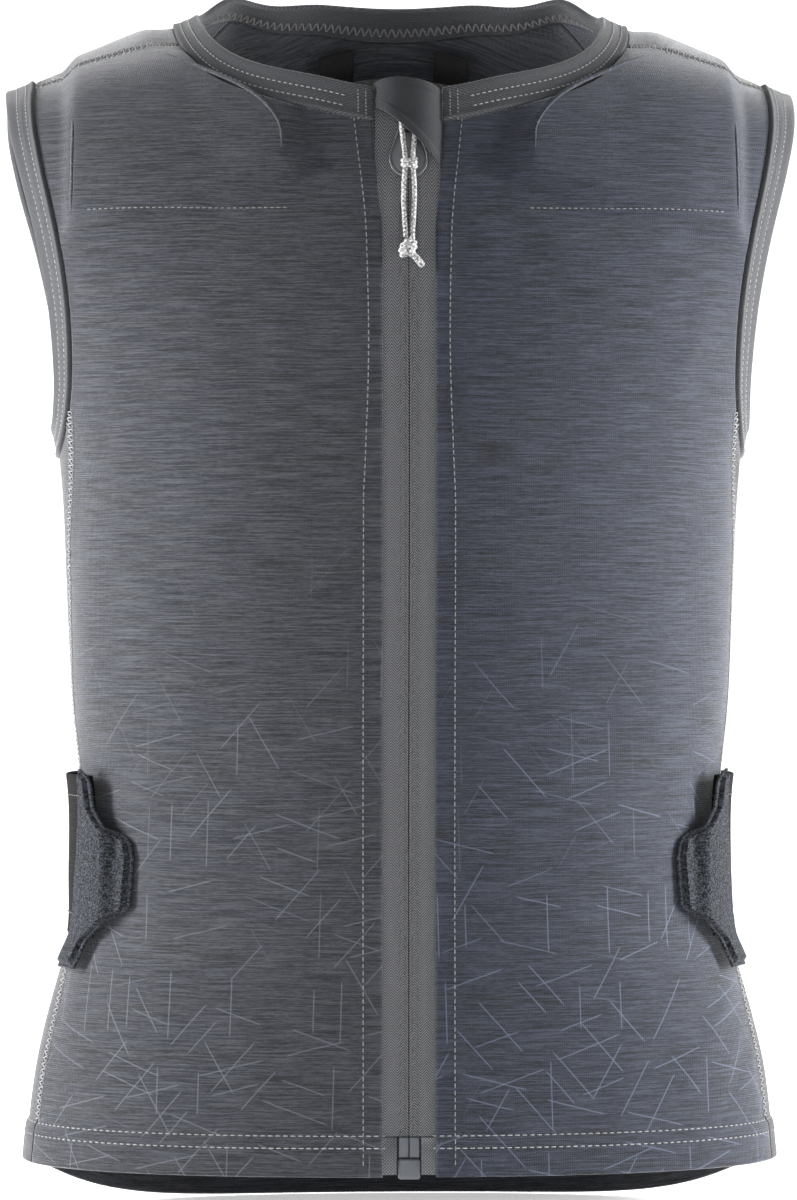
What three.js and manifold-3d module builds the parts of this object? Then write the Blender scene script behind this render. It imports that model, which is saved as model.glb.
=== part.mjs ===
// A sleeveless protective vest in stretch cloth, zipped down the front, with pads over the shoulders,
// a foam protector in a pocket on the back, and a belt round the waist that ends in two felt tabs.
// Millimetres, +Z up. The front faces -Y, and the wearer's left side is +X.
// The origin is on the middle plane, at the height where the neck meets the shoulders.
import * as THREE from 'three';
import { mergeVertices } from 'three/addons/utils/BufferGeometryUtils.js';
import Module from 'manifold-3d';

// The body's form: half widths and depths at its main heights
const TRUNK_HEIGHT = 487;
const HEM_HALF = 161;
const WAIST_HALF = 137;
const CHEST_HALF = 147;
const SHOULDER_HALF = 170;
const FRONT_DEPTH = 90;
const BACK_DEPTH = 88;
const RIDGE_BACK = 8;
const SHOULDER_SLOPE = 0.42;
const SHOULDER_ROUND = 30;
const NECK_REACH = 92;
const NECK_RISE = 12;
const NECK_RISE_FROM = 30;
const NECK_RISE_WIDE = 60;
const NECK_STAND = 9;
const NECK_STAND_AT = 74;
const NECK_STAND_WIDE = 16;
const TAIL_DROP = 26;
const TAIL_HEIGHT = 117;

// The cloth and its openings
const CLOTH = 1.8;
const GAP = 0.3;
const HEM_BAND = 17;
const HEM_RISE = 1.2;
const NECK_HALF = 86;
const NECK_FRONT = 64;
const NECK_BACK = 24.5;
const NECK_EASE = 0.25;
const NECK_BAND = 11.5;
const ARMHOLE_DROP = 173.5;
const ARM_BAND = 13;
const BAND_RISE = 1.1;
const BAND_SINK = 0.8;
const SIDE_REACH = 18.5;
const YOKE_BACK_NECK = 0.75;

// The pads and the protector
const PAD_DROP = 81;
const PAD_ASIDE = 34;
const PAD_OUTER = SHOULDER_HALF - PAD_ASIDE;
const PAD_TOP_INNER = 111;
const PAD_LOW_INNER = 52;
const PAD_CURVE_FROM = 10;
const PAD_CURVE_HEIGHT = 60;
const PAD_CURVE = 1.4;
const PAD_LIFT = 4;
const PAD_RAMP = 10;
const PAD_INSET = 13;
const PAD_FOAM = 7;
const PAD_CLEAR = 1.7;
const PROTECTOR_TOP = 34;
const PROTECTOR_HEIGHT = 370;
const PROTECTOR_HALF = 96;
const PROTECTOR_FOAM = 11;
const POCKET_CLOTH = 1.2;
const POCKET_MARGIN = 9;
const LINER_CLEAR = 1;

// The zip
const ZIP_OPEN = 11;
const ZIP_FLARE = 3.4;
const ZIP_FLARE_HEIGHT = 40;
const STITCH_IN = 8;
const TAPE_HALF = 17;
const TAPE = 0.7;
const TAPE_BELOW = 2.2;
const COIL_HALF = 2.9;
const COIL = 1.7;
const END_FILM = 13.3;
const END_BELOW = 2.5;
const BOX_HALF = 4.6;
const BOX_HEIGHT = 8.6;
const BOX_DEEP = 4.4;
const PIN_HALF = 4.3;
const SLIDER_DROP = 10;
const SLIDER_LENGTH = 10;
const SLIDER_HALF = 4.2;
const SLIDER_PLATE = 1.1;
const WEB_HALF = 0.7;
const BRIDGE_HALF = 1.2;
const BRIDGE_LENGTH = 6.4;
const BRIDGE_BAR = 1;
const PULLER = 1.2;
const PULLER_RADIUS = 8.1;
const PULLER_LENGTH = 17;
const PULLER_EYE = 3.4;
const GARAGE = 0.9;
const GARAGE_LOW = 32;
const GARAGE_RISE = 4;

// The cord
const CORD = 2.15;

// The belt and its tabs
const BELT_TOP = 322;
const BELT_HEIGHT = 69;
const BELT = 1.8;
const BELT_STAND = 3.3;
const BELT_CLEAR = 0.9;
const TAB_TOP = 319;
const TAB_HEIGHT = 86;
const TAB = 3.4;

// The hanger loops
const LOOP_APART = 26;
const LOOP_HALF = 7.8;
const LOOP_DROP = 17;
const LOOP = 1.2;
const LOOP_CLEAR = 1.6;

// How finely the sheets are divided
const FLARE_ROWS = 3;
const BELT_ROWS = 3;
const CHEST_ROWS = 3;
const SIDE_ROWS = 2;
const ARM_ROWS = 10;
const SEAM_COLS = 6;
const NECK_COLS = 5;
const YOKE_ROWS = 6;
const UNDER_COLS = 8;
const BACK_NECK_COLS = 3;
const BACK_ROWS = 8;

// Sections of the body from the hem to the shoulders' ridge. up is a share of the trunk's height,
// wide a share of the named half width, front and back shares of the depths, fore a share of the
// ridge's shift, square the section's exponent, and slope how much of the shoulders' slope it takes.
const BODY = [
  { up: 0, of: HEM_HALF, wide: 1, front: 0.97, back: 0.98, fore: 0, square: 2.3, slope: 0 },
  { up: 0.084, of: HEM_HALF, wide: 0.968, front: 0.955, back: 0.95, fore: 0, square: 2.3, slope: 0 },
  { up: 0.164, of: WAIST_HALF, wide: 1.066, front: 0.945, back: 0.91, fore: 0, square: 2.3, slope: 0 },
  { up: 0.2, of: WAIST_HALF, wide: 1.022, front: 0.94, back: 0.895, fore: 0, square: 2.3, slope: 0 },
  { up: 0.25, of: WAIST_HALF, wide: 1.01, front: 0.935, back: 0.88, fore: 0, square: 2.3, slope: 0 },
  { up: 0.322, of: WAIST_HALF, wide: 1, front: 0.935, back: 0.87, fore: 0, square: 2.3, slope: 0 },
  { up: 0.404, of: CHEST_HALF, wide: 0.957, front: 0.955, back: 0.9, fore: 0, square: 2.3, slope: 0 },
  { up: 0.507, of: CHEST_HALF, wide: 0.972, front: 0.985, back: 0.95, fore: 0, square: 2.3, slope: 0 },
  { up: 0.605, of: CHEST_HALF, wide: 0.99, front: 1, back: 0.99, fore: 0, square: 2.3, slope: 0.02 },
  { up: 0.67, of: SHOULDER_HALF, wide: 0.89, front: 0.99, back: 1, fore: 0, square: 2.35, slope: 0.1 },
  { up: 0.735, of: SHOULDER_HALF, wide: 0.925, front: 0.965, back: 0.99, fore: 0, square: 2.45, slope: 0.25 },
  { up: 0.8, of: SHOULDER_HALF, wide: 0.96, front: 0.92, back: 0.95, fore: 0.06, square: 2.6, slope: 0.45 },
  { up: 0.86, of: SHOULDER_HALF, wide: 0.99, front: 0.85, back: 0.89, fore: 0.2, square: 2.9, slope: 0.66 },
  { up: 0.912, of: SHOULDER_HALF, wide: 1.015, front: 0.74, back: 0.78, fore: 0.45, square: 3.3, slope: 0.83 },
  { up: 0.955, of: SHOULDER_HALF, wide: 1.035, front: 0.58, back: 0.6, fore: 0.7, square: 3.7, slope: 0.94 },
  { up: 0.986, of: SHOULDER_HALF, wide: 1.045, front: 0.33, back: 0.34, fore: 0.9, square: 4, slope: 0.99 },
  { up: 1, of: SHOULDER_HALF, wide: 1.05, front: 0, back: 0, fore: 1, square: 4, slope: 1 },
];
const RIDGE = BODY.length - 1;

// The armhole's free edge, from under the arm to the ridge. rise is a share of the armhole's drop,
// ahead and behind the degrees that its front and back edges lie off the side.
const ARMHOLE = [
  { rise: 0, ahead: 0, behind: 0 },
  { rise: 0.02, ahead: 8, behind: 8 },
  { rise: 0.07, ahead: 14, behind: 13 },
  { rise: 0.16, ahead: 18.5, behind: 17 },
  { rise: 0.32, ahead: 22.5, behind: 21 },
  { rise: 0.52, ahead: 24.5, behind: 22 },
  { rise: 0.72, ahead: 25, behind: 21.5 },
  { rise: 0.88, ahead: 25.5, behind: 22.5 },
  { rise: 0.97, ahead: 26, behind: 25 },
  { rise: 1, ahead: 26, behind: 26 },
];
const ARM_TOP = ARMHOLE.length - 1;

// The side seam: degrees round from the middle of the front, at shares of its height
const SIDE_SEAM = [
  { up: 0, round: 75.5 },
  { up: 0.2, round: 77 },
  { up: 0.35, round: 82 },
  { up: 0.62, round: 84 },
  { up: 0.82, round: 80 },
];

// A belt tab's outline, down its height: its inner edge as a share of the waist's half width,
// and its outer edge in degrees round from the middle of the front
const TAB_OUTLINE = [
  { down: 0, inner: 0.95, outer: 74 },
  { down: 0.05, inner: 0.92, outer: 75 },
  { down: 0.2, inner: 0.912, outer: 75 },
  { down: 0.29, inner: 0.885, outer: 75.5 },
  { down: 0.35, inner: 0.835, outer: 76 },
  { down: 0.43, inner: 0.824, outer: 76 },
  { down: 0.68, inner: 0.836, outer: 77 },
  { down: 0.75, inner: 0.895, outer: 77.5 },
  { down: 0.86, inner: 0.95, outer: 78 },
  { down: 1, inner: 0.99, outer: 78 },
];

// The back protector's half width down its height, as shares
const PROTECTOR_OUTLINE = [
  { down: 0, wide: 0.42 },
  { down: 0.08, wide: 0.55 },
  { down: 0.2, wide: 0.92 },
  { down: 0.35, wide: 1 },
  { down: 0.65, wide: 0.9 },
  { down: 0.88, wide: 0.86 },
  { down: 1, wide: 0.7 },
];

const wasm = await Module();
wasm.setup();

const mix = (a, b, t) => a + (b - a) * t;
const clamp = (t) => Math.min(1, Math.max(0, t));
const smooth = (t) => clamp(t) ** 2 * (3 - 2 * clamp(t));
const radians = (degrees) => (degrees * Math.PI) / 180;

// A value read from a table of rows by one column
function read(table, by, at, column) {
  const last = table.length - 1;
  let i = 0;
  while (i < last - 1 && at > table[i + 1][by]) i += 1;
  const share = clamp((at - table[i][by]) / (table[i + 1][by] - table[i][by]));
  return mix(table[i][column], table[i + 1][column], share);
}

// A smooth curve through rows of numbers, at position t
function through(row, t, last) {
  const i = Math.min(Math.floor(Math.max(0, t)), last - 1);
  const f = Math.min(last, Math.max(0, t)) - i;
  const [a, b, c, d] = [row(i - 1), row(i), row(i + 1), row(i + 2)];
  return b.map((_, n) => 0.5 * (2 * b[n] + (c[n] - a[n]) * f
    + (2 * a[n] - 5 * b[n] + 4 * c[n] - d[n]) * f ** 2
    + (3 * b[n] - a[n] - 3 * c[n] + d[n]) * f ** 3));
}

// The sections run up the front to the ridge and on down the back, as one arch
function bodyRow(i, back) {
  const r = BODY[i];
  const depth = back ? -r.back * BACK_DEPTH : r.front * FRONT_DEPTH;
  return [(r.up - 1) * TRUNK_HEIGHT, r.wide * r.of, depth, r.fore * RIDGE_BACK, r.square, r.slope];
}
function archRow(i) {
  const last = 2 * RIDGE;
  if (i < 0) return archRow(0).map((v, n) => 2 * v - archRow(1)[n]);
  if (i > last) return archRow(last).map((v, n) => 2 * v - archRow(last - 1)[n]);
  return i < RIDGE ? bodyRow(i, false) : bodyRow(last - i, true);
}
const section = (level) => through(archRow, level, 2 * RIDGE);

// The shoulders' line, which falls outwards and rises to the neck
function shoulderLine(x) {
  const fall = Math.hypot(x, SHOULDER_ROUND) - Math.hypot(NECK_REACH, SHOULDER_ROUND);
  return NECK_RISE * (1 - smooth((Math.abs(x) - NECK_RISE_FROM) / NECK_RISE_WIDE)) - SHOULDER_SLOPE * fall;
}

// A point of the cloth's outer face. angle runs from the middle to the side, and level up the front
// to the ridge and down the back. Past a right angle the point lies on the other side of the body.
function skin(angle, level) {
  const onBackArch = level > RIDGE;
  const round = onBackArch ? Math.PI - angle : angle;
  const height = onBackArch ? 2 * RIDGE - level : level;
  const behind = Math.cos(round) < 0;
  const [rise, half, depth, fore, square, slope] = section(behind ? 2 * RIDGE - height : height);
  const across = Math.sign(Math.sin(round)) * Math.abs(Math.sin(round)) ** (2 / square);
  const along = Math.abs(Math.cos(round)) ** (2 / square);
  const x = half * across;
  let z = rise + slope * shoulderLine(x);
  if (behind) {
    const fromRidge = RIDGE - height;
    const collar = Math.exp(-(((Math.abs(x) - NECK_STAND_AT) / NECK_STAND_WIDE) ** 2));
    z += NECK_STAND * collar * smooth(fromRidge) * (1 - smooth((fromRidge - 1.5) / 2.5));
    const low = clamp(1 - (rise + TRUNK_HEIGHT) / TAIL_HEIGHT) ** 1.5;
    z -= TAIL_DROP * low * (1 - Math.abs(across) ** 6);
  }
  return new THREE.Vector3(x, fore - depth * along, z);
}

const ANGLE_STEP = 0.004;
const LEVEL_STEP = 0.02;
function slopes([angle, level]) {
  const low = Math.max(0, level - LEVEL_STEP);
  const high = Math.min(2 * RIDGE, level + LEVEL_STEP);
  const round = skin(angle + ANGLE_STEP, level).sub(skin(angle - ANGLE_STEP, level));
  const up = skin(angle, high).sub(skin(angle, low));
  return [round.divideScalar(2 * ANGLE_STEP), up.divideScalar(high - low)];
}
function normalAt(place) {
  const [round, up] = slopes(place);
  return round.cross(up).normalize();
}

// Places on the cloth: the level at a height, and the angle at a distance from the middle
function solve(low, high, below) {
  let [a, b] = [low, high];
  for (let step = 0; step < 40; step += 1) {
    const middle = (a + b) / 2;
    if (below(middle)) a = middle;
    else b = middle;
  }
  return (a + b) / 2;
}
const levelAt = (z) => (z >= 0 ? RIDGE : solve(0, RIDGE, (k) => section(k)[0] < z));
function angleAt(x, level) {
  const [, half, , , square] = section(level);
  return Math.sign(x) * Math.asin(Math.min(1, Math.abs(x) / half) ** (square / 2));
}
const frontLevel = (z) => solve(0, RIDGE, (k) => skin(0, k).z < z);
const backLevel = (z) => 2 * RIDGE - solve(0, RIDGE, (k) => skin(0, 2 * RIDGE - k).z < z);
const toBackArch = ([angle, level]) => (level > RIDGE ? [angle, level] : [Math.PI - angle, 2 * RIDGE - level]);

// Walks over the cloth from a place, in a direction of space, for a distance
function walk(place, direction, distance) {
  const steps = 4;
  let [angle, level] = place;
  for (let step = 0; step < steps; step += 1) {
    const [round, up] = slopes([angle, level]);
    const [rr, ru, uu] = [round.dot(round), round.dot(up), up.dot(up)];
    const [dr, du] = [round.dot(direction), up.dot(direction)];
    const det = rr * uu - ru * ru;
    const [a, b] = [(dr * uu - du * ru) / det, (du * rr - dr * ru) / det];
    const length = round.clone().multiplyScalar(a).addScaledVector(up, b).length();
    angle += (a * distance) / steps / length;
    level += (b * distance) / steps / length;
  }
  return [angle, level];
}

// The armhole: its free edge, its seam, and the band between them
function armRow(i) {
  const last = 2 * ARM_TOP;
  if (i < 0) return [-ARMHOLE[-i].rise, -ARMHOLE[-i].behind];
  if (i > last) return [2 + ARMHOLE[i - last].rise, -ARMHOLE[i - last].ahead];
  if (i <= ARM_TOP) return [ARMHOLE[i].rise, ARMHOLE[i].ahead];
  return [2 - ARMHOLE[last - i].rise, ARMHOLE[last - i].behind];
}
function armEdge(t) {
  const [rise, off] = through(armRow, t, 2 * ARM_TOP);
  const level = levelAt(-ARMHOLE_DROP * (1 - (rise <= 1 ? rise : 2 - rise)));
  return [radians(90 - off), rise <= 1 ? level : 2 * RIDGE - level];
}
function armBand(t, outwards) {
  const place = armEdge(t);
  const step = 0.03;
  const ends = [Math.max(0, t - step), Math.min(2 * ARM_TOP, t + step)].map((s) => skin(...armEdge(s)));
  const direction = normalAt(place).cross(ends[1].sub(ends[0])).normalize();
  return walk(place, direction, outwards);
}
const armSeam = (t) => armBand(t, ARM_BAND);

// The neckline, from the middle of the front round to the middle of the back
function neckAt(turn, outwards) {
  const wide = Math.abs(Math.sin(turn));
  const front = turn <= Math.PI / 2;
  const power = front ? 1.7 : 1.05;
  const drop = (front ? NECK_FRONT : NECK_BACK) + outwards;
  const across = front ? wide : (Math.hypot(wide, NECK_EASE) - NECK_EASE) / (Math.hypot(1, NECK_EASE) - NECK_EASE);
  const level = levelAt(-drop * Math.max(0, 1 - across ** power) ** (1 / power));
  const archLevel = front ? level : 2 * RIDGE - level;
  return [angleAt((NECK_HALF + outwards) * wide, archLevel), archLevel];
}
const neckSeam = (turn) => neckAt(turn, NECK_BAND);
const neckTurnAt = (x) => Math.asin(x / (NECK_HALF + NECK_BAND));

// Where the seams meet: under the arm, at the front shoulder seam and at the back yoke seam
const ARM_SIDE = 2.2;
const ARM_FRONT = 8.1;
const ARM_YOKE = 12.1;
const NECK_SHOULDER = radians(76);
const NECK_YOKE = Math.PI - Math.asin(YOKE_BACK_NECK);

const HEM_Z = -TRUNK_HEIGHT;
const sideTop = armSeam(ARM_SIDE);
const SIDE_TOP_Z = section(sideTop[1])[0];
const BASE_Z = -(ARMHOLE_DROP + ARM_BAND + SIDE_REACH);
const BASE = levelAt(BASE_Z);
const NECK_TOP = neckSeam(neckTurnAt(ZIP_OPEN + ZIP_FLARE))[1];

function sideSeam(level) {
  const up = (section(level)[0] - HEM_Z) / (SIDE_TOP_Z - HEM_Z);
  const seam = [...SIDE_SEAM, { up: 1, round: (sideTop[0] * 180) / Math.PI }];
  return [radians(read(seam, 'up', up, 'round')), level];
}

// The fold beside the zip, which opens a little at the top
function foldAt(level, beyond = 0) {
  const top = section(NECK_TOP)[0];
  const flare = smooth(1 - (top - section(level)[0]) / ZIP_FLARE_HEIGHT);
  return [angleAt(ZIP_OPEN + ZIP_FLARE * flare + beyond, level), level];
}

// The pad's inner edge, at a fall below the ridge: it curves towards the neck on its way down
function padInner(fall) {
  const share = clamp((fall - PAD_CURVE_FROM) / PAD_CURVE_HEIGHT);
  return mix(PAD_LOW_INNER, PAD_TOP_INNER, (1 - share) ** PAD_CURVE);
}

// How far the pad lifts the cloth at a place, less the nearer the place is to the pad's edge
function padLift(place) {
  const [angle, level] = place;
  const x = Math.abs(skin(angle, level).x);
  const fall = -section(level)[0];
  const fromCurve = 0.75 * (x - padInner(fall));
  const inside = Math.min(PAD_OUTER - x, fromCurve, PAD_DROP - fall);
  return PAD_LIFT * smooth(inside / PAD_RAMP + 1);
}

// Turns a grid of stations into one closed sheet. Each station has a point, the direction out of
// the cloth, and how far its inner and outer faces lie along it. Edges draw in for the seam's gap.
function sheet(grid, { ring = false, drawIn = GAP / 2 } = {}) {
  const rows = grid.length;
  const cols = grid[0].length;
  const towards = (from, to) => to.point.clone().sub(from.point).setLength(drawIn);
  const points = grid.map((line, i) => line.map((station, j) => {
    const point = station.point.clone();
    if (!ring && i === 0) point.add(towards(station, grid[1][j]));
    if (!ring && i === rows - 1) point.add(towards(station, grid[i - 1][j]));
    if (j === 0) point.add(towards(station, line[1]));
    if (j === cols - 1) point.add(towards(station, line[j - 1]));
    return point;
  }));
  const vertices = [];
  for (const side of ['inner', 'outer']) {
    grid.forEach((line, i) => line.forEach((station, j) => {
      vertices.push(...points[i][j].clone().addScaledVector(station.out, station[side]).toArray());
    }));
  }
  const at = (i, j, outer) => (outer ? rows * cols : 0) + (i % rows) * cols + j;
  const faces = [];
  const quad = (a, b, c, d) => faces.push(a, b, c, a, c, d);
  const spans = ring ? rows : rows - 1;
  for (let i = 0; i < spans; i += 1) {
    for (let j = 0; j < cols - 1; j += 1) {
      quad(at(i, j, true), at(i, j + 1, true), at(i + 1, j + 1, true), at(i + 1, j, true));
      quad(at(i, j, false), at(i + 1, j, false), at(i + 1, j + 1, false), at(i, j + 1, false));
    }
    quad(at(i, 0, false), at(i, 0, true), at(i + 1, 0, true), at(i + 1, 0, false));
    quad(at(i, cols - 1, true), at(i, cols - 1, false), at(i + 1, cols - 1, false), at(i + 1, cols - 1, true));
  }
  for (let j = 0; !ring && j < cols - 1; j += 1) {
    quad(at(0, j, true), at(0, j, false), at(0, j + 1, false), at(0, j + 1, true));
    quad(at(rows - 1, j, false), at(rows - 1, j, true), at(rows - 1, j + 1, true), at(rows - 1, j + 1, false));
  }
  return facingOut(vertices, faces);
}

// Makes a geometry whose faces point out of the solid
function facingOut(vertices, faces) {
  const corner = (n) => new THREE.Vector3().fromArray(vertices, 3 * n);
  let volume = 0;
  for (let n = 0; n < faces.length; n += 3) {
    volume += corner(faces[n]).dot(corner(faces[n + 1]).cross(corner(faces[n + 2])));
  }
  const geometry = new THREE.BufferGeometry();
  geometry.setAttribute('position', new THREE.Float32BufferAttribute(vertices, 3));
  geometry.setIndex(volume < 0 ? faces.slice().reverse() : faces);
  return geometry;
}

// A grid of stations from a function of row and column
function gridOf(rows, cols, station) {
  return Array.from({ length: rows + 1 }, (_, i) => Array.from({ length: cols + 1 }, (_, j) => station(i, j)));
}
function stationAt(place, inner, outer) {
  return { point: skin(...place), out: normalAt(place), inner, outer };
}

// A patch of places whose four edges are given, blended between them
function blendEdges(bottom, top, start, end) {
  const rows = start.length - 1;
  const cols = bottom.length - 1;
  return gridOf(rows, cols, (i, j) => {
    const [u, v] = [j / cols, i / rows];
    return [0, 1].map((n) => mix(bottom[j][n], top[j][n], v) + mix(start[i][n], end[i][n], u)
      - mix(mix(bottom[0][n], bottom[cols][n], u), mix(top[0][n], top[cols][n], u), v));
  });
}
const stretch = (count, place) => Array.from({ length: count + 1 }, (_, n) => place(n / count));
const joined = (...parts) => parts.flatMap((part, n) => (n ? part.slice(1) : part));

// The cloth's faces at a place: lifted by the pad, and folded double at the hem
function clothStation(place) {
  const lift = padLift(place);
  const hem = section(place[1])[0] < HEM_Z + HEM_BAND - 0.5 ? HEM_RISE : 0;
  return stationAt(place, lift - CLOTH, lift + hem);
}
const clothSheet = (places) => sheet(places.map((line) => line.map(clothStation)), { drawIn: 0.75 * GAP });

// The rows below the arms: the hem's band, the flare, the belt's height, and the lower chest
const FLARE_Z = (BODY[2].up - 1) * TRUNK_HEIGHT;
const heights = (count, low, high) => stretch(count, (v) => levelAt(mix(low, high, v)));
const BELT_LEVELS = heights(BELT_ROWS, -BELT_TOP - BELT_HEIGHT, -BELT_TOP);
const LOW_LEVELS = [
  levelAt(HEM_Z + 0.001),
  levelAt(HEM_Z + HEM_BAND - 1.5),
  ...heights(FLARE_ROWS, HEM_Z + HEM_BAND, FLARE_Z),
  ...BELT_LEVELS,
  ...heights(CHEST_ROWS, -BELT_TOP, BASE_Z).slice(1),
];
const shoulderSeam = (u) => neckSeam(NECK_SHOULDER).map((v, n) => mix(v, armSeam(ARM_FRONT)[n], u));
const yokeSeam = (u) => neckSeam(NECK_YOKE).map((v, n) => mix(v, armSeam(ARM_YOKE)[n], u));

// The front panel on the wearer's left, from the zip's fold to the side seam and the armhole
const FRONT_COLS = 1 + NECK_COLS + SEAM_COLS;
function frontRow(level) {
  const [fold] = foldAt(level);
  const [stitch] = foldAt(level, STITCH_IN);
  const [side] = sideSeam(level);
  return Array.from({ length: FRONT_COLS + 1 }, (_, j) => (
    j === 0 ? [fold, level] : [mix(stitch, side, (j - 1) / (FRONT_COLS - 1)), level]
  ));
}
const FOLD_LEVELS = stretch(SIDE_ROWS + ARM_ROWS, (v) => mix(BASE, NECK_TOP, v));
function frontPanel() {
  const outer = joined(
    stretch(SIDE_ROWS, (v) => sideSeam(mix(BASE, sideTop[1], v))),
    stretch(ARM_ROWS, (v) => armSeam(mix(ARM_SIDE, ARM_FRONT, v))),
  );
  const corner = neckTurnAt(ZIP_OPEN + ZIP_FLARE);
  const inner = neckTurnAt(ZIP_OPEN + ZIP_FLARE + STITCH_IN);
  const top = [
    neckSeam(corner),
    ...stretch(NECK_COLS, (u) => neckSeam(mix(inner, NECK_SHOULDER, u))),
    ...stretch(SEAM_COLS, shoulderSeam).slice(1),
  ];
  const upper = blendEdges(frontRow(BASE), top, FOLD_LEVELS.map((level) => foldAt(level)), outer);
  return clothSheet([...LOW_LEVELS.slice(0, -1).map(frontRow), ...upper]);
}

// The shoulder's yoke, from the front shoulder seam over the ridge to the back yoke seam
function yoke() {
  return clothSheet(blendEdges(
    stretch(SEAM_COLS, shoulderSeam),
    stretch(SEAM_COLS, yokeSeam),
    stretch(YOKE_ROWS, (v) => neckSeam(mix(NECK_SHOULDER, NECK_YOKE, v))),
    stretch(YOKE_ROWS, (v) => armSeam(mix(ARM_FRONT, ARM_YOKE, v))),
  ));
}

// The back panel: half of it is laid out from the middle to the side seam, then mirrored
const UNDER_ARM = stretch(UNDER_COLS, (u) => {
  const t = mix(ARM_YOKE, 2 * ARM_TOP + ARM_SIDE, u);
  return t <= 2 * ARM_TOP ? t : t - 2 * ARM_TOP;
});
function halfBack() {
  const top = joined(
    stretch(BACK_NECK_COLS, (u) => neckSeam(mix(Math.PI, NECK_YOKE, u))),
    stretch(SEAM_COLS, yokeSeam),
    UNDER_ARM.map((t) => toBackArch(armSeam(t))),
  );
  const cols = top.length - 1;
  const side = (level) => toBackArch(sideSeam(level))[0];
  const lengths = [0];
  top.slice(1).forEach((place, n) => {
    lengths.push(lengths[n] + skin(...place).distanceTo(skin(...top[n])));
  });
  const shares = top.map((place, n) => mix(lengths[n] / lengths[cols], place[0] / top[cols][0], 0.45));
  const row = (level) => shares.map((share) => [share * side(level), 2 * RIDGE - level]);
  const base = row(BASE);
  const rise = stretch(BACK_ROWS, (v) => v ** 0.8);
  const upper = rise.map((v) => base.map((place, j) => {
    if (j === cols) return toBackArch(sideSeam(mix(BASE, sideTop[1], v)));
    return place.map((value, n) => mix(value, top[j][n], v));
  }));
  return [...LOW_LEVELS.slice(0, -1).map(row), ...upper];
}
function backPanel() {
  const places = halfBack().map((line) => [
    ...line.slice(1).reverse().map(([angle, level]) => [-angle, level]),
    ...line,
  ]);
  return clothSheet(places);
}

// The bands that bind the neckline and the armholes, a little thicker than the cloth they hold
const bandStation = (place) => stationAt(place, -CLOTH - BAND_SINK, BAND_RISE);
function neckBinding() {
  const start = neckTurnAt(ZIP_OPEN + ZIP_FLARE);
  const inner = neckTurnAt(ZIP_OPEN + ZIP_FLARE + STITCH_IN);
  const half = joined(
    [start, ...stretch(NECK_COLS, (u) => mix(inner, NECK_SHOULDER, u))],
    stretch(YOKE_ROWS, (v) => mix(NECK_SHOULDER, NECK_YOKE, v)),
    stretch(BACK_NECK_COLS, (u) => mix(NECK_YOKE, Math.PI, u)),
  );
  const across = (turn, share, side) => {
    const [angle, level] = neckAt(turn, share * NECK_BAND);
    const end = angleAt(ZIP_OPEN + ZIP_FLARE, level);
    return [side * (level < RIDGE ? Math.max(angle, end) : angle), level];
  };
  const line = (turn, side) => [0, 0.5, 1].map((share) => bandStation(across(turn, share, side)));
  return sheet([
    ...half.map((turn) => line(turn, 1)),
    ...half.slice(0, -1).reverse().map((turn) => line(turn, -1)),
  ]);
}
function armBinding() {
  const turns = joined(
    stretch(ARM_ROWS, (v) => mix(ARM_SIDE, ARM_FRONT, v)),
    stretch(YOKE_ROWS, (v) => mix(ARM_FRONT, ARM_YOKE, v)),
    UNDER_ARM,
  ).slice(0, -1);
  return sheet(turns.map((t) => [0, 0.5, 1].map((share) => bandStation(armBand(t, share * ARM_BAND)))), {
    ring: true,
  });
}

// The pad under the cloth of the shoulder, over the ridge from front to back
function shoulderPad() {
  const [rows, cols] = [10, 4];
  const low = levelAt(PAD_INSET - PAD_DROP);
  return sheet(gridOf(rows, cols, (i, j) => {
    const level = mix(low, 2 * RIDGE - low, i / rows);
    const rounding = PAD_INSET * 0.7 * Math.abs(mix(-1, 1, i / rows)) ** 8;
    const outer = PAD_OUTER - PAD_INSET - rounding;
    const inner = padInner(-section(level)[0]) + PAD_INSET + rounding;
    const x = mix(Math.min(inner, outer - PAD_INSET), outer, j / cols);
    const edge = i === 0 || i === rows || j === 0 || j === cols;
    const foam = edge ? 0.45 * PAD_FOAM : PAD_FOAM;
    const top = PAD_LIFT - CLOTH - PAD_CLEAR;
    return stationAt([angleAt(x, level), level], top - foam, top);
  }));
}

// The back protector in its pocket, which is sewn to the inside of the back panel
const BACK_NECK_Z = skin(...neckSeam(Math.PI)).z;
function backInside(x, down) {
  const level = backLevel(BACK_NECK_Z - down);
  return [angleAt(x, level), level];
}
const PROTECTOR_DOWN = PROTECTOR_TOP - NECK_BAND;
const PROTECTOR_FACE = -CLOTH - LINER_CLEAR;
function protector() {
  const [rows, cols] = [9, 8];
  return sheet(gridOf(rows, cols, (i, j) => {
    const down = i / rows;
    const x = mix(-1, 1, j / cols) * PROTECTOR_HALF * read(PROTECTOR_OUTLINE, 'down', down, 'wide');
    const edge = i === 0 || i === rows || j === 0 || j === cols;
    const foam = edge ? 0.5 * PROTECTOR_FOAM : PROTECTOR_FOAM;
    return stationAt(backInside(x, PROTECTOR_DOWN + down * PROTECTOR_HEIGHT), PROTECTOR_FACE - foam, PROTECTOR_FACE);
  }));
}
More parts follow.
